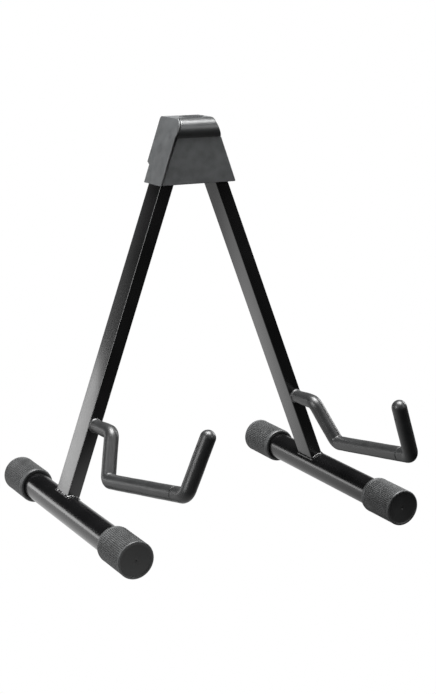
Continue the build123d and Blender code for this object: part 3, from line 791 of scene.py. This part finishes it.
@dataclass
class LegAssembly:
    """Leg tube, foot tube, weld, caps and arm of one side.

    Attributes:
        plane: The leg's plane.
        palette: The materials.
        width: Width of the leg tube.
        depth: Depth of the leg tube.
        wall: Wall of the leg tube.
        corner: Outer corner radius of the leg tube.
        foot_wall: Wall of the foot tube.
        bead: Radius of the weld bead.
        ripple_pitch: Distance between the ripple marks of the bead.
    """

    plane: LegPlane
    palette: Palette
    width: float = 15.0 * MM
    depth: float = 30.0 * MM
    wall: float = 1.5 * MM
    corner: float = 1.0 * MM
    foot_wall: float = 1.5 * MM
    bead: float = 1.7 * MM
    ripple_pitch: float = 1.9 * MM

    @property
    def body(self) -> str:
        """Body that the pieces ride on."""
        return f"{self.plane.side.word}_leg"

    def add_piece(self, name: str, grid: Array, finish: Finish, slot: str, wrap_rows: bool = False,
                  relief: Array | None = None) -> bpy.types.Object:
        """Makes a piece that stands for one node of this side.

        Args:
            name: Node's name without its side.
            grid: The piece's grid of places.
            finish: Its finish.
            slot: The record's material slot; not used.
            wrap_rows: Joins the last row of the grid to the first.
            relief: Value per vertex of the grid; lower values paint shade.

        Returns:
            The finished object.
        """
        node = f"{self.plane.side.word}_{name}"
        piece = self.palette.dress(closed_mesh(f"{node}_surface", grid, wrap_rows, relief), finish)
        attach(piece, self.body)
        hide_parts(node)
        log.info("%s: %d faces", piece.name, len(piece.data.polygons))
        return piece

    def outline(self, shrink: float, per_corner: int) -> Array:
        """Outline of the leg tube in its width and depth, drawn in by a distance.

        Args:
            shrink: How far it is drawn in.
            per_corner: Points on each corner's arc.

        Returns:
            Points of shape (n, 2).
        """
        half_width, half_depth = self.width / 2 - shrink, self.depth / 2 - shrink
        radius = max(self.corner - shrink, 0.5 * MM)
        return rounded_loop([(a * half_width, b * half_depth, radius)
                             for a, b in ((1, 1), (-1, 1), (-1, -1), (1, -1))], per_corner)

    def foot_line(self, loop: Array) -> Array:
        """Distance up the leg where each outline point meets the foot tube.

        The tube's surface lies at height sqrt(radius^2 - x^2) above its axis.
        """
        height = np.sqrt(self.plane.foot_radius ** 2 - loop[:, 0] ** 2)
        return self.plane.length_at_height(loop[:, 1], height)

    def top_line(self, loop: Array) -> Array:
        """Distance up the leg of the round top: height run + sqrt(half width^2 - x^2)."""
        bulge = np.sqrt(np.maximum((self.width / 2) ** 2 - loop[:, 0] ** 2, 0))
        return self.plane.length_at_height(loop[:, 1], self.plane.run + bulge)

    def leg_tube(self) -> None:
        """Rectangular tube: outer rows from the foot to the round top, then the inner wall back."""
        outer, inner = self.outline(0.0, 10), self.outline(self.wall, 10)
        share = np.linspace(0, 1, 60)[:, None]
        outer_up = self.foot_line(outer) * (1 - share) + self.top_line(outer) * share
        inner_up = self.foot_line(inner) * share + self.top_line(inner) * (1 - share)
        rows_out = self.plane.raked(outer[:, 0], outer[:, 1], outer_up)
        rows_in = self.plane.raked(inner[:, 0], inner[:, 1], inner_up)
        grid = self.plane.to_world(np.concatenate([rows_out, rows_in]))
        piece = self.add_piece("leg_tube", grid, POWDER_COAT, "black_powder_coat", wrap_rows=True)
        piece.data.set_sharp_from_angle(angle=SHARP)

    def foot_tube(self) -> None:
        """Round tube: outer rows with eased ends, then the bore back."""
        low, high = self.plane.foot_ends
        radius, ease, rows = self.plane.foot_radius, 0.4 * MM, 80
        profile = np.concatenate([
            [[radius - ease, low]],
            np.stack([np.full(rows, radius), np.linspace(low + ease, high - ease, rows)], axis=1),
            [[radius - ease, high]],
            [[radius - self.foot_wall, high], [radius - self.foot_wall, low]],
        ])
        grid = lathe(profile, 128, self.plane.origin[0], self.plane.origin[2])
        piece = self.add_piece("foot_tube", grid, POWDER_COAT, "black_powder_coat", wrap_rows=True)
        piece.data.set_sharp_from_angle(angle=SHARP)

    def weld_bead(self) -> None:
        """Weld round the foot of the leg: a ripple-marked bead on the line of contact.

        The bead's radius is bead * (0.72 + 0.22 |sin| of the ripple angle + a slow swell), and
        its centre follows the outline where it meets the foot tube.
        """
        loop = self.outline(0.0, 14)
        closed = np.concatenate([loop, loop[:1]])
        distance = np.concatenate([[0], np.cumsum(np.linalg.norm(np.diff(closed, axis=0), axis=1))])
        even = np.linspace(0, distance[-1], 320, endpoint=False)
        ring = np.stack([np.interp(even, distance, closed[:, k]) for k in (0, 1)], axis=1)
        line = self.plane.raked(ring[:, 0], ring[:, 1], self.foot_line(ring))
        outward = loop_normals(ring)
        outward = self.plane.raked(outward[:, 0], outward[:, 1], np.zeros(len(ring)))
        upward = self.plane.raked(np.zeros(1), np.zeros(1), np.ones(1))
        ripple = np.abs(np.sin(even * math.pi / self.ripple_pitch))
        swell = 0.12 * np.sin(even * 410 + 1.3) + 0.09 * np.sin(even * 1130 + self.plane.side.value)
        radius = self.bead * (0.72 + 0.22 * ripple + swell)
        angle = np.linspace(0, 2 * math.pi, 20, endpoint=False)
        cross = outward[:, None] * np.cos(angle)[None, :, None] + upward[None] * np.sin(angle)[None, :, None]
        grid = self.plane.to_world(line[:, None] + cross * radius[:, None, None])
        self.add_piece("foot_weld", grid, WELD_COAT, "weld_powder_coat", wrap_rows=True)

    def build(self) -> None:
        """Makes every piece of this side."""
        self.leg_tube()
        self.foot_tube()
        self.weld_bead()
        for end in CapEnd:
            FootCap(self, end).build()
        Arm(self).build()
        for name, finish in (("leg_top_plug", PLUG_PLASTIC), ("hinge_bush", BUSH_BRONZE),
                             ("arm_rod", ROD_STEEL)):
            self.palette.dress(frame["nodes"][f"{self.plane.side.word}_{name}"], finish)


class CapEnd(Enum):
    """Which end of the foot a cap closes, with the way its closed face looks along Y."""

    FRONT = -1
    REAR = 1


@dataclass
class FootCap:
    """Rubber cap with a knurled band of small square ribs.

    Attributes:
        leg: The leg assembly it belongs to.
        end: Which end of the foot.
        ribs: Lengthwise ribs round the cap.
        ring_pitch: Distance between the cross grooves.
        groove: Depth of the grooves.
        rim: Rounding of the closed end.
        mouth: Width of the smooth band at the mouth.
        face_dish: Depth of the dished end face.
        face_rim: Distance from the dished face to the outside.
        dimple: Radius of the mark in the middle of the face.
        floor: Depth of the bore's floor from the closed end.
        per_groove: Points along each groove and ring, for its shape.
    """

    leg: LegAssembly
    end: CapEnd
    ribs: int = 60
    ring_pitch: float = 2.0 * MM
    groove: float = 0.8 * MM
    rim: float = 1.3 * MM
    mouth: float = 4.2 * MM
    face_dish: float = 0.8 * MM
    face_rim: float = 2.9 * MM
    dimple: float = 1.7 * MM
    floor: float = 4.0 * MM
    per_groove: int = 6

    def build(self) -> None:
        """Turns the cap's profile about the foot's axis and cuts the knurl into the band."""
        side = self.leg.plane.side.word
        node = f"{self.end.name.lower()}_foot_cap"
        low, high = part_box(f"{side}_{node}")
        self.radius, self.length = (high.z - low.z) / 2, high.y - low.y
        closed_y = low.y if self.end is CapEnd.FRONT else high.y
        profile, knurled = self.profile()
        profile = profile * [1, -self.end.value] + [0, closed_y]
        grid = lathe(profile, self.ribs * self.per_groove, (low.x + high.x) / 2, (low.z + high.z) / 2)
        grid, relief = self.cut_knurl(grid, profile, knurled)
        self.leg.add_piece(node, grid, FOOT_RUBBER, "foot_rubber", relief=relief)

    def profile(self) -> tuple[Array, Array]:
        """Profile (radius, distance from the closed end), from the dimple round to the bore's floor.

        Returns:
            The profile of shape (rows, 2), and the share of knurl on each row from 0 to 1.
        """
        radius, dish = self.radius, self.face_dish
        face_edge = radius - self.face_rim
        bore = self.leg.plane.foot_radius + 0.1 * MM
        spread = np.linspace(0.08, 1, 14)
        dimple = [[0.3 * MM, dish * 1.9], [0.9 * MM, dish * 1.8], [1.3 * MM, dish * 1.25],
                  [self.dimple, dish]]
        face = np.stack([self.dimple + (face_edge - self.dimple) * spread,
                         dish * (1 - 0.25 * spread ** 3)], axis=1)
        lip = [[face_edge + 0.35 * MM, dish * 0.35], [face_edge + 0.8 * MM, 0.05 * MM],
               [face_edge + 1.2 * MM, 0]]
        rim = rounding(self.rim, 7) * [-1, 1] + [radius, 0]
        rows = int(round((self.length - self.mouth - self.rim) / self.ring_pitch)) * self.per_groove
        band_y = np.linspace(self.rim, self.length - self.mouth, rows)[1:]
        band = np.stack([np.full(len(band_y), radius), band_y], axis=1)
        taper = np.linspace(0, 1, 8)[1:]
        smooth_y = self.length - self.mouth + self.mouth * taper
        smooth = np.stack([radius - 1.1 * MM * taper ** 2.2, smooth_y], axis=1)
        inside = [[radius - 1.5 * MM, self.length], [bore + 0.5 * MM, self.length],
                  [bore, self.length - 0.5 * MM], [bore, self.floor], [bore * 0.5, self.floor]]
        profile = np.concatenate([dimple, face, lip, rim, band, smooth, inside])
        knurled = np.zeros(len(profile))
        start = len(dimple) + len(face) + len(lip) + len(rim)
        edge = np.minimum(np.arange(len(band)), np.arange(len(band))[::-1]) / 5.0
        knurled[start:start + len(band)] = np.clip(edge, 0, 1)
        return profile, knurled

    def cut_knurl(self, grid: Array, profile: Array, knurled: Array) -> tuple[Array, Array]:
        """Draws the grooves in towards the axis.

        Crest height is (lengthwise wave) * (0.6 + 0.4 cross wave), each wave being
        (1/2 + 1/2 cos)^0.8, and a vertex moves in by groove * (1 - crest height).

        Args:
            grid: The turned cap.
            profile: Its profile (radius, y).
            knurled: Share of knurl per row.

        Returns:
            The grooved grid and the painted shade value of each vertex: lower in the grooves and lowest on
            the end face and in the bore, which paints them darker as shade.
        """
        turn = np.linspace(0, 2 * math.pi, grid.shape[1], endpoint=False)
        lengthwise = (0.5 + 0.5 * np.cos(turn * self.ribs)) ** 0.8
        cross = (0.5 + 0.5 * np.cos(profile[:, 1] * 2 * math.pi / self.ring_pitch)) ** 0.8
        crest = lengthwise[None, :] * (0.6 + 0.4 * cross[:, None])
        crest = 1 - knurled[:, None] * (1 - crest)
        shrink = 1 - self.groove * (1 - crest) / np.maximum(profile[:, 0], 1e-4)[:, None]
        axis = np.array([(grid[0, :, 0].max() + grid[0, :, 0].min()) / 2, 0,
                         (grid[0, :, 2].max() + grid[0, :, 2].min()) / 2])
        scaled = grid.copy()
        for k in (0, 2):
            scaled[..., k] = axis[k] + (grid[..., k] - axis[k]) * shrink
        # Painted shade: the end face and bore get 0.12 and the grooves down to 0.35, which paints them
        # darker.
        face = profile[:, 0] < self.radius - 2.0 * MM
        relief = np.where(face[:, None], 0.12, 0.35 + 0.65 * crest)
        return scaled, relief


@dataclass
class Arm:
    """The bent arm's two rubber sleeves.

    Corner points are measured forward from the leg's front face and up the leg.

    Attributes:
        leg: The leg assembly it belongs to.
        root_up: Height of the arm's root on the leg.
        shoulder, heel, toe, tip: Corner points (forward, up).
        bend: Bend radius at the shoulder and heel.
        toe_bend: Bend radius at the toe.
        radius: Radius of the sleeves.
        root_radius: Radius of the sleeve at the leg.
        collar_radius: Radius of the collar against the leg.
        bore: Radius inside the sleeves.
        taper: Length over which the sleeve grows to its full radius.
        seam_setback: The end sleeve starts this far before the toe corner.
        seam_gap: Gap between the sleeves.
        seam_ease: Rounding of the two edges at the seam.
        vent_below: Distance of the vent below the tip's centre.
        vent_radius: Radius of the vent.
        vent_depth: Depth of the vent's pit.
    """

    leg: LegAssembly
    root_up: float = 96.4 * MM
    shoulder: Span = (41.4 * MM, 97.7 * MM)
    heel: Span = (64.7 * MM, 50.0 * MM)
    toe: Span = (222.8 * MM, 77.1 * MM)
    tip: Span = (229.9 * MM, 137.3 * MM)
    bend: float = 9.5 * MM
    toe_bend: float = 10.0 * MM
    radius: float = 8.0 * MM
    root_radius: float = 7.0 * MM
    collar_radius: float = 8.2 * MM
    bore: float = 5.1 * MM
    taper: float = 28.0 * MM
    seam_setback: float = 20.0 * MM
    seam_gap: float = 0.3 * MM
    seam_ease: float = 0.45 * MM
    vent_below: float = 11.0 * MM
    vent_radius: float = 1.3 * MM
    vent_depth: float = 1.7 * MM

    def __post_init__(self) -> None:
        """Lays the centre line in the leg's plane and finds the seam."""
        corners = [(0.0, self.root_up), self.shoulder, self.heel, self.toe, self.tip]
        places = [self.leg.plane.raked(np.array(0.0), np.array(-(forward + self.leg.depth / 2)), np.array(up))
                  for forward, up in corners]
        self.line = BentLine(np.array(places)[:, 1:], (self.bend, self.bend, self.toe_bend))
        toe_arc = 5
        length, _, _, curvature = self.line.spans[toe_arc]
        cut = self.toe_bend * math.tan(length * abs(curvature) / 2)
        self.seam = self.line.starts[toe_arc] + cut - self.seam_setback

    def build(self) -> None:
        """Makes both sleeves."""
        self.sleeve()
        self.end_sleeve()

    def nick(self, angle: Array) -> Array:
        """Widening of the seam on one flank: a bell in the angle round the sleeve."""
        return np.exp(-(np.angle(np.exp(1j * (angle + 0.5 * math.pi + 0.1))) / 0.42) ** 2)

    def flow(self, along: Array, angle: Array) -> Array:
        """Faint unevenness of soft rubber: slow waves along and round the sleeve."""
        slow = np.sin(along * 95 + 2 * np.cos(angle)) + 0.6 * np.sin(along * 231 + angle)
        return 0.05 * MM * slow

    def seam_edge(self, along: float, way: float) -> list[Span]:
        """Eased edge (along, radius) at the seam, from the bore out to the full radius.

        Args:
            along: Where the sleeve ends on the centre line.
            way: 1 where the sleeve lies beyond the edge and -1 where it lies before it.

        Returns:
            Pairs (along, radius).
        """
        narrow = 0.12 * MM
        return [(along, self.bore), (along, self.radius - self.seam_ease),
                (along + way * narrow, self.radius - narrow), (along + way * self.seam_ease, self.radius)]

    def sleeve(self) -> None:
        """Sleeve from the leg to the seam: collar, taper, plain run, eased end, bore back."""
        collar = 2.4 * MM
        start = [(0.0, self.bore), (0.0, self.collar_radius - 0.9 * MM),
                 (0.25 * MM, self.collar_radius - 0.3 * MM), (0.8 * MM, self.collar_radius),
                 (collar - 0.8 * MM, self.collar_radius), (collar - 0.3 * MM, self.collar_radius - 0.3 * MM),
                 (collar, self.root_radius + 0.35 * MM), (collar + 0.7 * MM, self.root_radius + 0.08 * MM)]
        run = np.arange(collar + 1.6 * MM, self.seam - 0.8 * MM, 1.1 * MM)
        share = np.clip((run - collar) / (self.taper - collar), 0, 1)
        share = share * share * (3 - 2 * share)
        body = np.stack([run, self.root_radius + (self.radius - self.root_radius) * share], axis=1)
        end = self.seam_edge(self.seam, -1)[::-1]
        back = np.stack([np.linspace(self.seam - 2 * MM, 2 * MM, 90), np.full(90, self.bore)], axis=1)
        along, radius, angle = self.spread(np.concatenate([start, body, end, back]), 72)
        first = len(start) + len(body)
        along[first:first + len(end)] -= 0.35 * MM * self.nick(angle)
        outside = slice(len(start), first)
        radius[outside] += self.flow(along[outside], angle)
        grid = self.leg.plane.to_world(carry_circle(self.line, along, radius, angle))
        self.leg.add_piece("arm_sleeve", grid, SLEEVE_RUBBER, "sleeve_rubber", wrap_rows=True)

    def end_sleeve(self) -> None:
        """End sleeve: eased mouth at the seam, plain run, half-round tip.

        The vent is a pit of depth vent_depth * sqrt(1 - (distance / vent_radius)^2) on one flank; the pit is
        also painted darker as shade.
        """
        begin, tip = self.seam + self.seam_gap, self.line.length
        start = self.seam_edge(begin, 1)
        run = np.arange(begin + 1.2 * MM, tip, 0.55 * MM)
        body = np.stack([run, np.full(len(run), self.radius)], axis=1)
        rise = np.linspace(0, 0.97, 22) * math.pi / 2
        dome = np.stack([tip + self.radius * np.sin(rise), self.radius * np.cos(rise)], axis=1)
        along, radius, angle = self.spread(np.concatenate([start, body, dome]), 112)
        along[:len(start)] += 0.55 * MM * self.nick(angle)
        outside = slice(len(start), len(start) + len(body))
        fade = np.clip((tip - along[outside]) / (10 * MM), 0, 1)
        radius[outside] += self.flow(along[outside], angle) * fade
        round_flank = np.angle(np.exp(1j * (angle + 0.5 * math.pi))) * self.radius
        reach = np.hypot(along - (tip - self.vent_below), round_flank) / self.vent_radius
        pit = np.clip(1 - reach ** 2, 0, 1) ** 0.5
        radius -= self.vent_depth * pit
        grid = self.leg.plane.to_world(carry_circle(self.line, along, radius, angle))
        # Painted shade: the vent's pit gets 0.1, which paints it darker.
        relief = 1 - 0.9 * (pit > 0)
        self.leg.add_piece("arm_end_sleeve", grid, SLEEVE_RUBBER, "sleeve_rubber", relief=relief)

    @staticmethod
    def spread(rows: Array, columns: int) -> tuple[Array, Array, Array]:
        """Spreads rows (along, radius) over the columns.

        Args:
            rows: Pairs of shape (rows, 2).
            columns: Points round the line.

        Returns:
            Along and radius of every vertex, and the angle of each column.
        """
        angle = np.linspace(0, 2 * math.pi, columns, endpoint=False)[None, :]
        shape = (len(rows), columns)
        return np.broadcast_to(rows[:, :1], shape).copy(), np.broadcast_to(rows[:, 1:], shape).copy(), angle


# ------------------------------------------------------------------ head

@dataclass
class Head:
    """The moulded head with its covers, pad and hinge hardware.

    Attributes:
        palette: The materials.
        edge: Rounding of the moulded edges.
        cover_thickness: Thickness of the front cover.
        cover_corner: Radius of the cover's corners.
        pad_wall: Thickness of the pad.
        pad_end: Rounding of the pad's ends.
        pad_lean: Slope that the pad's left end has beyond the legs' own.
        right_limit: The right edges come no nearer to the middle than this.
    """

    palette: Palette
    edge: float = 0.6 * MM
    cover_thickness: float = 2.0 * MM
    cover_corner: float = 1.2 * MM
    pad_wall: float = 2.6 * MM
    pad_end: float = 0.7 * MM
    pad_lean: float = -0.028
    right_limit: float = 23.29 * MM

    def eased_copy(self, node: str, width: float, segments: int) -> bpy.types.Object:
        """Copy of a node's mesh with merged points and rounded edges.

        Args:
            node: The node to stand for.
            width: Width of the rounding.
            segments: Steps in the rounding.

        Returns:
            The new object.
        """
        source = frame["nodes"][node]
        piece = bpy.data.objects.new(f"{node}_surface", source.data.copy())
        piece.data.materials.clear()
        bpy.context.scene.collection.objects.link(piece)
        work = bmesh.new()
        work.from_mesh(piece.data)
        bmesh.ops.remove_doubles(work, verts=work.verts, dist=0.002 * MM)
        bmesh.ops.dissolve_limit(work, angle_limit=math.radians(1.0), verts=work.verts, edges=work.edges)
        for face in work.faces:
            face.smooth = True
        work.to_mesh(piece.data)
        work.free()
        piece.data.set_sharp_from_angle(angle=math.radians(35))
        set_relief(piece.data, np.ones(len(piece.data.vertices)))
        bevel = piece.modifiers.new("eased_edges", "BEVEL")
        bevel.width = width
        bevel.segments = segments
        bevel.limit_method = "ANGLE"
        bevel.angle_limit = math.radians(40)
        bevel.use_clamp_overlap = True
        bevel.harden_normals = False
        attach(piece, "head")
        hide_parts(node)
        return piece

    def slope(self) -> float:
        """Change of half width per metre of height, the tangent of the leg's spread."""
        return math.tan(LegPlane(Side.RIGHT).spread)

    def right_edge(self, rise: Array, foot: float) -> Array:
        """X of a right edge at a rise above its foot: drawn in by the legs' slope up to a limit."""
        return np.maximum(foot - rise * self.slope(), self.right_limit)

    def front_cover(self) -> None:
        """Flat cover: a lopsided trapezoid with eased corners and rounded edges."""
        low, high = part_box("head_front_cover")
        corner = self.cover_corner
        sharp = corner / math.tan((math.pi / 2 - math.atan(self.slope())) / 2) - corner
        rise = high.z - low.z
        right = self.right_edge(np.array([0.0, rise]), high.x + sharp)
        left = low.x - sharp + np.array([0.0, rise * self.slope()])
        loop = rounded_loop([(right[0], low.z, corner), (right[1], high.z, corner),
                             (left[1], high.z, corner), (left[0], low.z, corner)], 8)
        rows = plate_rows(self.refine(loop, 1.5 * MM), self.cover_thickness, 0.5 * MM)
        grid = np.stack([rows[..., 0], low.y + rows[..., 2], rows[..., 1]], axis=-1)
        piece = self.palette.dress(closed_mesh("head_front_cover_surface", grid), HEAD_PLASTIC)
        self.finish_piece(piece, "head_front_cover")

    @staticmethod
    def refine(loop: Array, step: float) -> Array:
        """Adds points on long runs of a closed outline so that none is over a step.

        Args:
            loop: Outline of shape (n, 2).
            step: Longest gap between points.

        Returns:
            The outline with more points.
        """
        closed = np.concatenate([loop, loop[:1]])
        gaps = np.linalg.norm(np.diff(closed, axis=0), axis=1)
        parts = np.maximum(np.ceil(gaps / step).astype(int), 1)
        owner = np.repeat(np.arange(len(loop)), parts)
        place = (np.arange(len(owner)) - np.repeat(np.cumsum(parts) - parts, parts)) / parts[owner]
        return closed[owner] * (1 - place[:, None]) + closed[owner + 1] * place[:, None]

    def bumper_pad(self) -> None:
        """Rubber band bent over the nose: its section carried across, with rounded ends.

        The section is an arc band.  Each row lies at a share of the way from the left edge to
        the right edge at its own height, and a quarter circle rounds both ends.
        """
        low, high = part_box("head_bumper_pad")
        middle_z = frame["joints"][0]["pos_m"][2]
        outer = high.z - middle_z
        inner = outer - self.pad_wall
        middle_y = low.y + outer
        outside, inside, steps = 72, 48, 40
        radii = np.repeat([outer, inner], [outside, inside])
        start = -np.arcsin((middle_z - low.z) / radii)
        stop = math.pi / 2 + np.arcsin((high.y - middle_y) / radii)
        share = np.concatenate([np.linspace(0, 1, outside), np.linspace(1, 0, inside)])
        turn = start + (stop - start) * share
        way = np.stack([-np.cos(turn), np.sin(turn)], axis=1)
        section = np.array([middle_y, middle_z]) + way * radii[:, None]
        toward = way * np.where(radii == outer, -1.0, 1.0)[:, None]
        ends = rounding(self.pad_end, EDGE_STEPS)
        inset = np.concatenate([ends[:, 0], np.zeros(steps - 2), ends[::-1, 0]])
        depth = np.concatenate([ends[:, 1], np.linspace(self.pad_end, -self.pad_end, steps)[1:-1],
                                -ends[::-1, 1]])
        across = np.concatenate([np.zeros(len(ends)), np.linspace(0, 1, steps)[1:-1], np.ones(len(ends))])
        rise = section[:, 1] - low.z
        left = low.x + rise * (self.slope() + self.pad_lean)
        right = self.right_edge(rise, high.x)
        x = left + (right - left) * across[:, None] + depth[:, None]
        flat = section[None] + toward[None] * inset[:, None, None]
        grid = np.concatenate([x[..., None], flat], axis=-1)
        piece = self.palette.dress(closed_mesh("head_bumper_pad_surface", grid), PAD_RUBBER)
        piece.data.set_sharp_from_angle(angle=SHARP)
        self.finish_piece(piece, "head_bumper_pad")

    def finish_piece(self, piece: bpy.types.Object, node: str) -> None:
        """Lets a new piece stand for a node of the head.

        Args:
            piece: The dressed piece.
            node: The node.
        """
        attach(piece, "head")
        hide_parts(node)
        log.info("%s: %d faces", piece.name, len(piece.data.polygons))

    def build(self) -> None:
        """Makes every piece of the head."""
        housing = self.palette.dress(self.eased_copy("head_housing", self.edge, 3), HEAD_PLASTIC)
        cover = self.palette.dress(self.eased_copy("head_rear_cover", 0.4 * MM, 2), HEAD_PLASTIC)
        self.front_cover()
        self.bumper_pad()
        for node, finish in (("head_rear_screws", ZINC_STEEL), ("hinge_bolts", ZINC_STEEL),
                             ("hinge_nuts", ZINC_STEEL), ("hinge_washers", WASHER_NYLON)):
            self.palette.dress(frame["nodes"][node], finish)


# ------------------------------------------------------------------ studio

@dataclass(frozen=True)
class Softbox:
    """A soft rectangular light that looks at a point and isn't seen directly.

    Attributes:
        name: Name of the light.
        place: Its middle.
        size: Width and height.
        power: Power in watts.
        spread_deg: Full angle of its beam.
        aim: The point that it looks at.
    """

    name: str
    place: Place
    size: Span
    power: float
    spread_deg: float
    aim: Place = (0.0, 0.0, 0.25)

    def add(self) -> None:
        """Adds the light to the scene."""
        data = bpy.data.lights.new(self.name, "AREA")
        data.shape = "RECTANGLE"
        data.size, data.size_y = self.size
        data.energy = self.power
        data.spread = math.radians(self.spread_deg)
        lamp = bpy.data.objects.new(self.name, data)
        lamp.location = self.place
        lamp.visible_camera = False
        way = Vector(self.aim) - Vector(self.place)
        lamp.rotation_euler = way.to_track_quat("-Z", "Y").to_euler()
        bpy.context.scene.collection.objects.link(lamp)


SOFTBOXES = (
    Softbox("left_softbox", (-1.8, -0.3, 0.8), (0.9, 1.1), 4.2, 60),
    Softbox("back_left_softbox", (-0.8, 1.1, 0.1), (0.5, 0.3), 1.6, 180, (-0.15, 0.0, 0.1)),
    Softbox("top_softbox", (0.15, -0.1, 2.1), (1.2, 1.5), 36, 70),
    Softbox("front_fill", (1.3, -1.7, 1.2), (1.0, 1.0), 2.0, 70),
    Softbox("right_softbox", (1.9, 0.5, 0.9), (0.7, 1.2), 4, 70),
)


@dataclass
class Studio:
    """Pale floor, soft lights and the camera.

    Attributes:
        azimuth_deg: Bearing of the camera; 0 looks along +Y.
        elevation_deg: Height of the camera above the horizon.
        distance: Distance of the camera from the plane through the aim point.
        slide: Sideways place of the camera's axis.
        lift: Upward place of the camera's axis.
        aim_y: The camera's axis crosses the middle plane of the stand at this Y.
        lens: Focal length in millimetres on a 36 mm sensor.
        floor_reach: Half the width of the floor.
        pool_place: Middle of the pool of light on the floor.
        pool_reach: The pool fades between these distances.
        pool: Mirrored brightness in the pool.
        floor_fade: The floor behind brightens between these values of Y.
        floor_front, floor_back: Mirrored brightness in front, and what is added behind.
        band: Brightness of the pale band behind.
        band_height: The band fades between these heights on a unit sphere.
        behind_fade: The band brightens towards +Y between these values on a unit sphere.
        dim: Brightness of the rest of the room.
    """

    azimuth_deg: float = -28.6
    elevation_deg: float = 13.5
    distance: float = 1.7127
    slide: float = 0.01875
    lift: float = 0.17998
    aim_y: float = 0.0408
    lens: float = 77.81
    floor_reach: float = 8.0
    pool_place: Place = (-0.25, 0.2, 0.0)
    pool_reach: Span = (0.3, 0.62)
    pool: float = 0.95
    floor_fade: Span = (0.1, 0.8)
    floor_front: float = 0.03
    floor_back: float = 0.35
    band: float = 0.6
    band_height: Span = (0.0, 0.2)
    behind_fade: Span = (0.0, 0.6)
    dim: float = 0.012

    def camera(self) -> None:
        """Sets the camera on its bearing, with its axis moved sideways and up."""
        bearing, height = math.radians(self.azimuth_deg), math.radians(self.elevation_deg)
        back = Vector((math.sin(bearing) * math.cos(height), -math.cos(bearing) * math.cos(height),
                       math.sin(height)))
        right = Vector((math.cos(bearing), math.sin(bearing), 0))
        up = back.cross(right)
        place = Vector((0, self.aim_y, 0)) + back * self.distance + right * self.slide + up * self.lift
        data = bpy.data.cameras.new("camera")
        data.lens = self.lens
        data.clip_start = 0.05
        data.clip_end = 50
        eye = bpy.data.objects.new("camera", data)
        turn = Matrix((right, up, back)).transposed().to_4x4()
        turn.translation = place
        eye.matrix_world = turn
        bpy.context.scene.collection.objects.link(eye)
        bpy.context.scene.camera = eye

    def floor(self) -> None:
        """Pale flat floor: white where it is seen, and a soft pool of light where it is mirrored.

        The mirrored brightness is a smooth step in the distance from the pool's middle, plus a
        smooth step in Y from nothing in front to pale behind.
        """
        reach = self.floor_reach
        corners = [(-reach, -reach, 0), (reach, -reach, 0), (reach, reach, 0), (-reach, reach, 0)]
        mesh = bpy.data.meshes.new("studio_floor")
        mesh.from_pydata(corners, [], [(0, 1, 2, 3)])
        sheet = bpy.data.objects.new("studio_floor", mesh)
        bpy.context.scene.collection.objects.link(sheet)
        paper = bpy.data.materials.new("studio_paper")
        paper.use_nodes = True
        tree = paper.node_tree
        tree.nodes.remove(tree.nodes["Principled BSDF"])
        place = tree.nodes.new("ShaderNodeTexCoord").outputs["Object"]
        gap = tree.nodes.new("ShaderNodeVectorMath")
        gap.operation = "DISTANCE"
        tree.links.new(place, gap.inputs[0])
        gap.inputs[1].default_value = self.pool_place
        pool = map_range(tree, gap.outputs["Value"], self.pool_reach, (self.pool, self.floor_front), True)
        behind = map_range(tree, split_axes(tree, place)["Y"], self.floor_fade, (0.0, self.floor_back), True)
        glow = tree.nodes.new("ShaderNodeEmission")
        tree.links.new(maths(tree, "ADD", pool, behind), glow.inputs["Strength"])
        self.white_to_eye(tree, glow.outputs["Emission"], tree.nodes["Material Output"])
        mesh.materials.append(paper)

    @staticmethod
    def white_to_eye(tree: bpy.types.NodeTree, other: Socket, end: bpy.types.Node) -> None:
        """Shows plain white where it is seen directly, and another shader where it is mirrored.

        Args:
            tree: The node tree.
            other: The shader that is mirrored.
            end: The output node of the material or the world.
        """
        ray = tree.nodes.new("ShaderNodeLightPath")
        on_surface = end.type == "OUTPUT_MATERIAL"
        white = tree.nodes.new("ShaderNodeEmission" if on_surface else "ShaderNodeBackground")
        pick = tree.nodes.new("ShaderNodeMixShader")
        tree.links.new(ray.outputs["Is Camera Ray"], pick.inputs["Fac"])
        tree.links.new(other, pick.inputs[1])
        tree.links.new(white.outputs[0], pick.inputs[2])
        white.inputs["Color"].default_value = (1, 1, 1, 1)
        white.inputs["Strength"].default_value = 1.0
        tree.links.new(pick.outputs[0], end.inputs["Surface"])

    def air(self) -> None:
        """Room light: a pale band at the horizon behind, dim elsewhere.

        Brightness is dim + band * (smooth step towards +Y) * (1 - smooth step in height).
        """
        world = bpy.data.worlds.new("studio_air")
        bpy.context.scene.world = world
        world.use_nodes = True
        tree = world.node_tree
        axes = split_axes(tree, tree.nodes.new("ShaderNodeTexCoord").outputs["Generated"])
        behind = map_range(tree, axes["Y"], self.behind_fade, (0.0, 1.0), True)
        low = map_range(tree, axes["Z"], self.band_height, (self.band, 0.0), True)
        glow = maths(tree, "MULTIPLY_ADD", behind, low, self.dim)
        back = tree.nodes["Background"]
        back.inputs["Color"].default_value = (1, 1, 1, 1)
        tree.links.new(glow, back.inputs["Strength"])
        self.white_to_eye(tree, back.outputs["Background"], tree.nodes["World Output"])

    def build(self) -> None:
        """Sets the whole studio."""
        self.floor()
        self.air()
        for softbox in SOFTBOXES:
            softbox.add()
        self.camera()
        bpy.context.scene.view_settings.view_transform = "Standard"


def main() -> None:
    """Builds the stand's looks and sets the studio."""
    logging.basicConfig(level=logging.INFO, format="%(name)s: %(message)s")
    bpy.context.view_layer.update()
    palette = Palette()
    Head(palette).build()
    for side in Side:
        LegAssembly(LegPlane(side), palette).build()
    Studio().build()


if __name__ == "__main__":
    main()
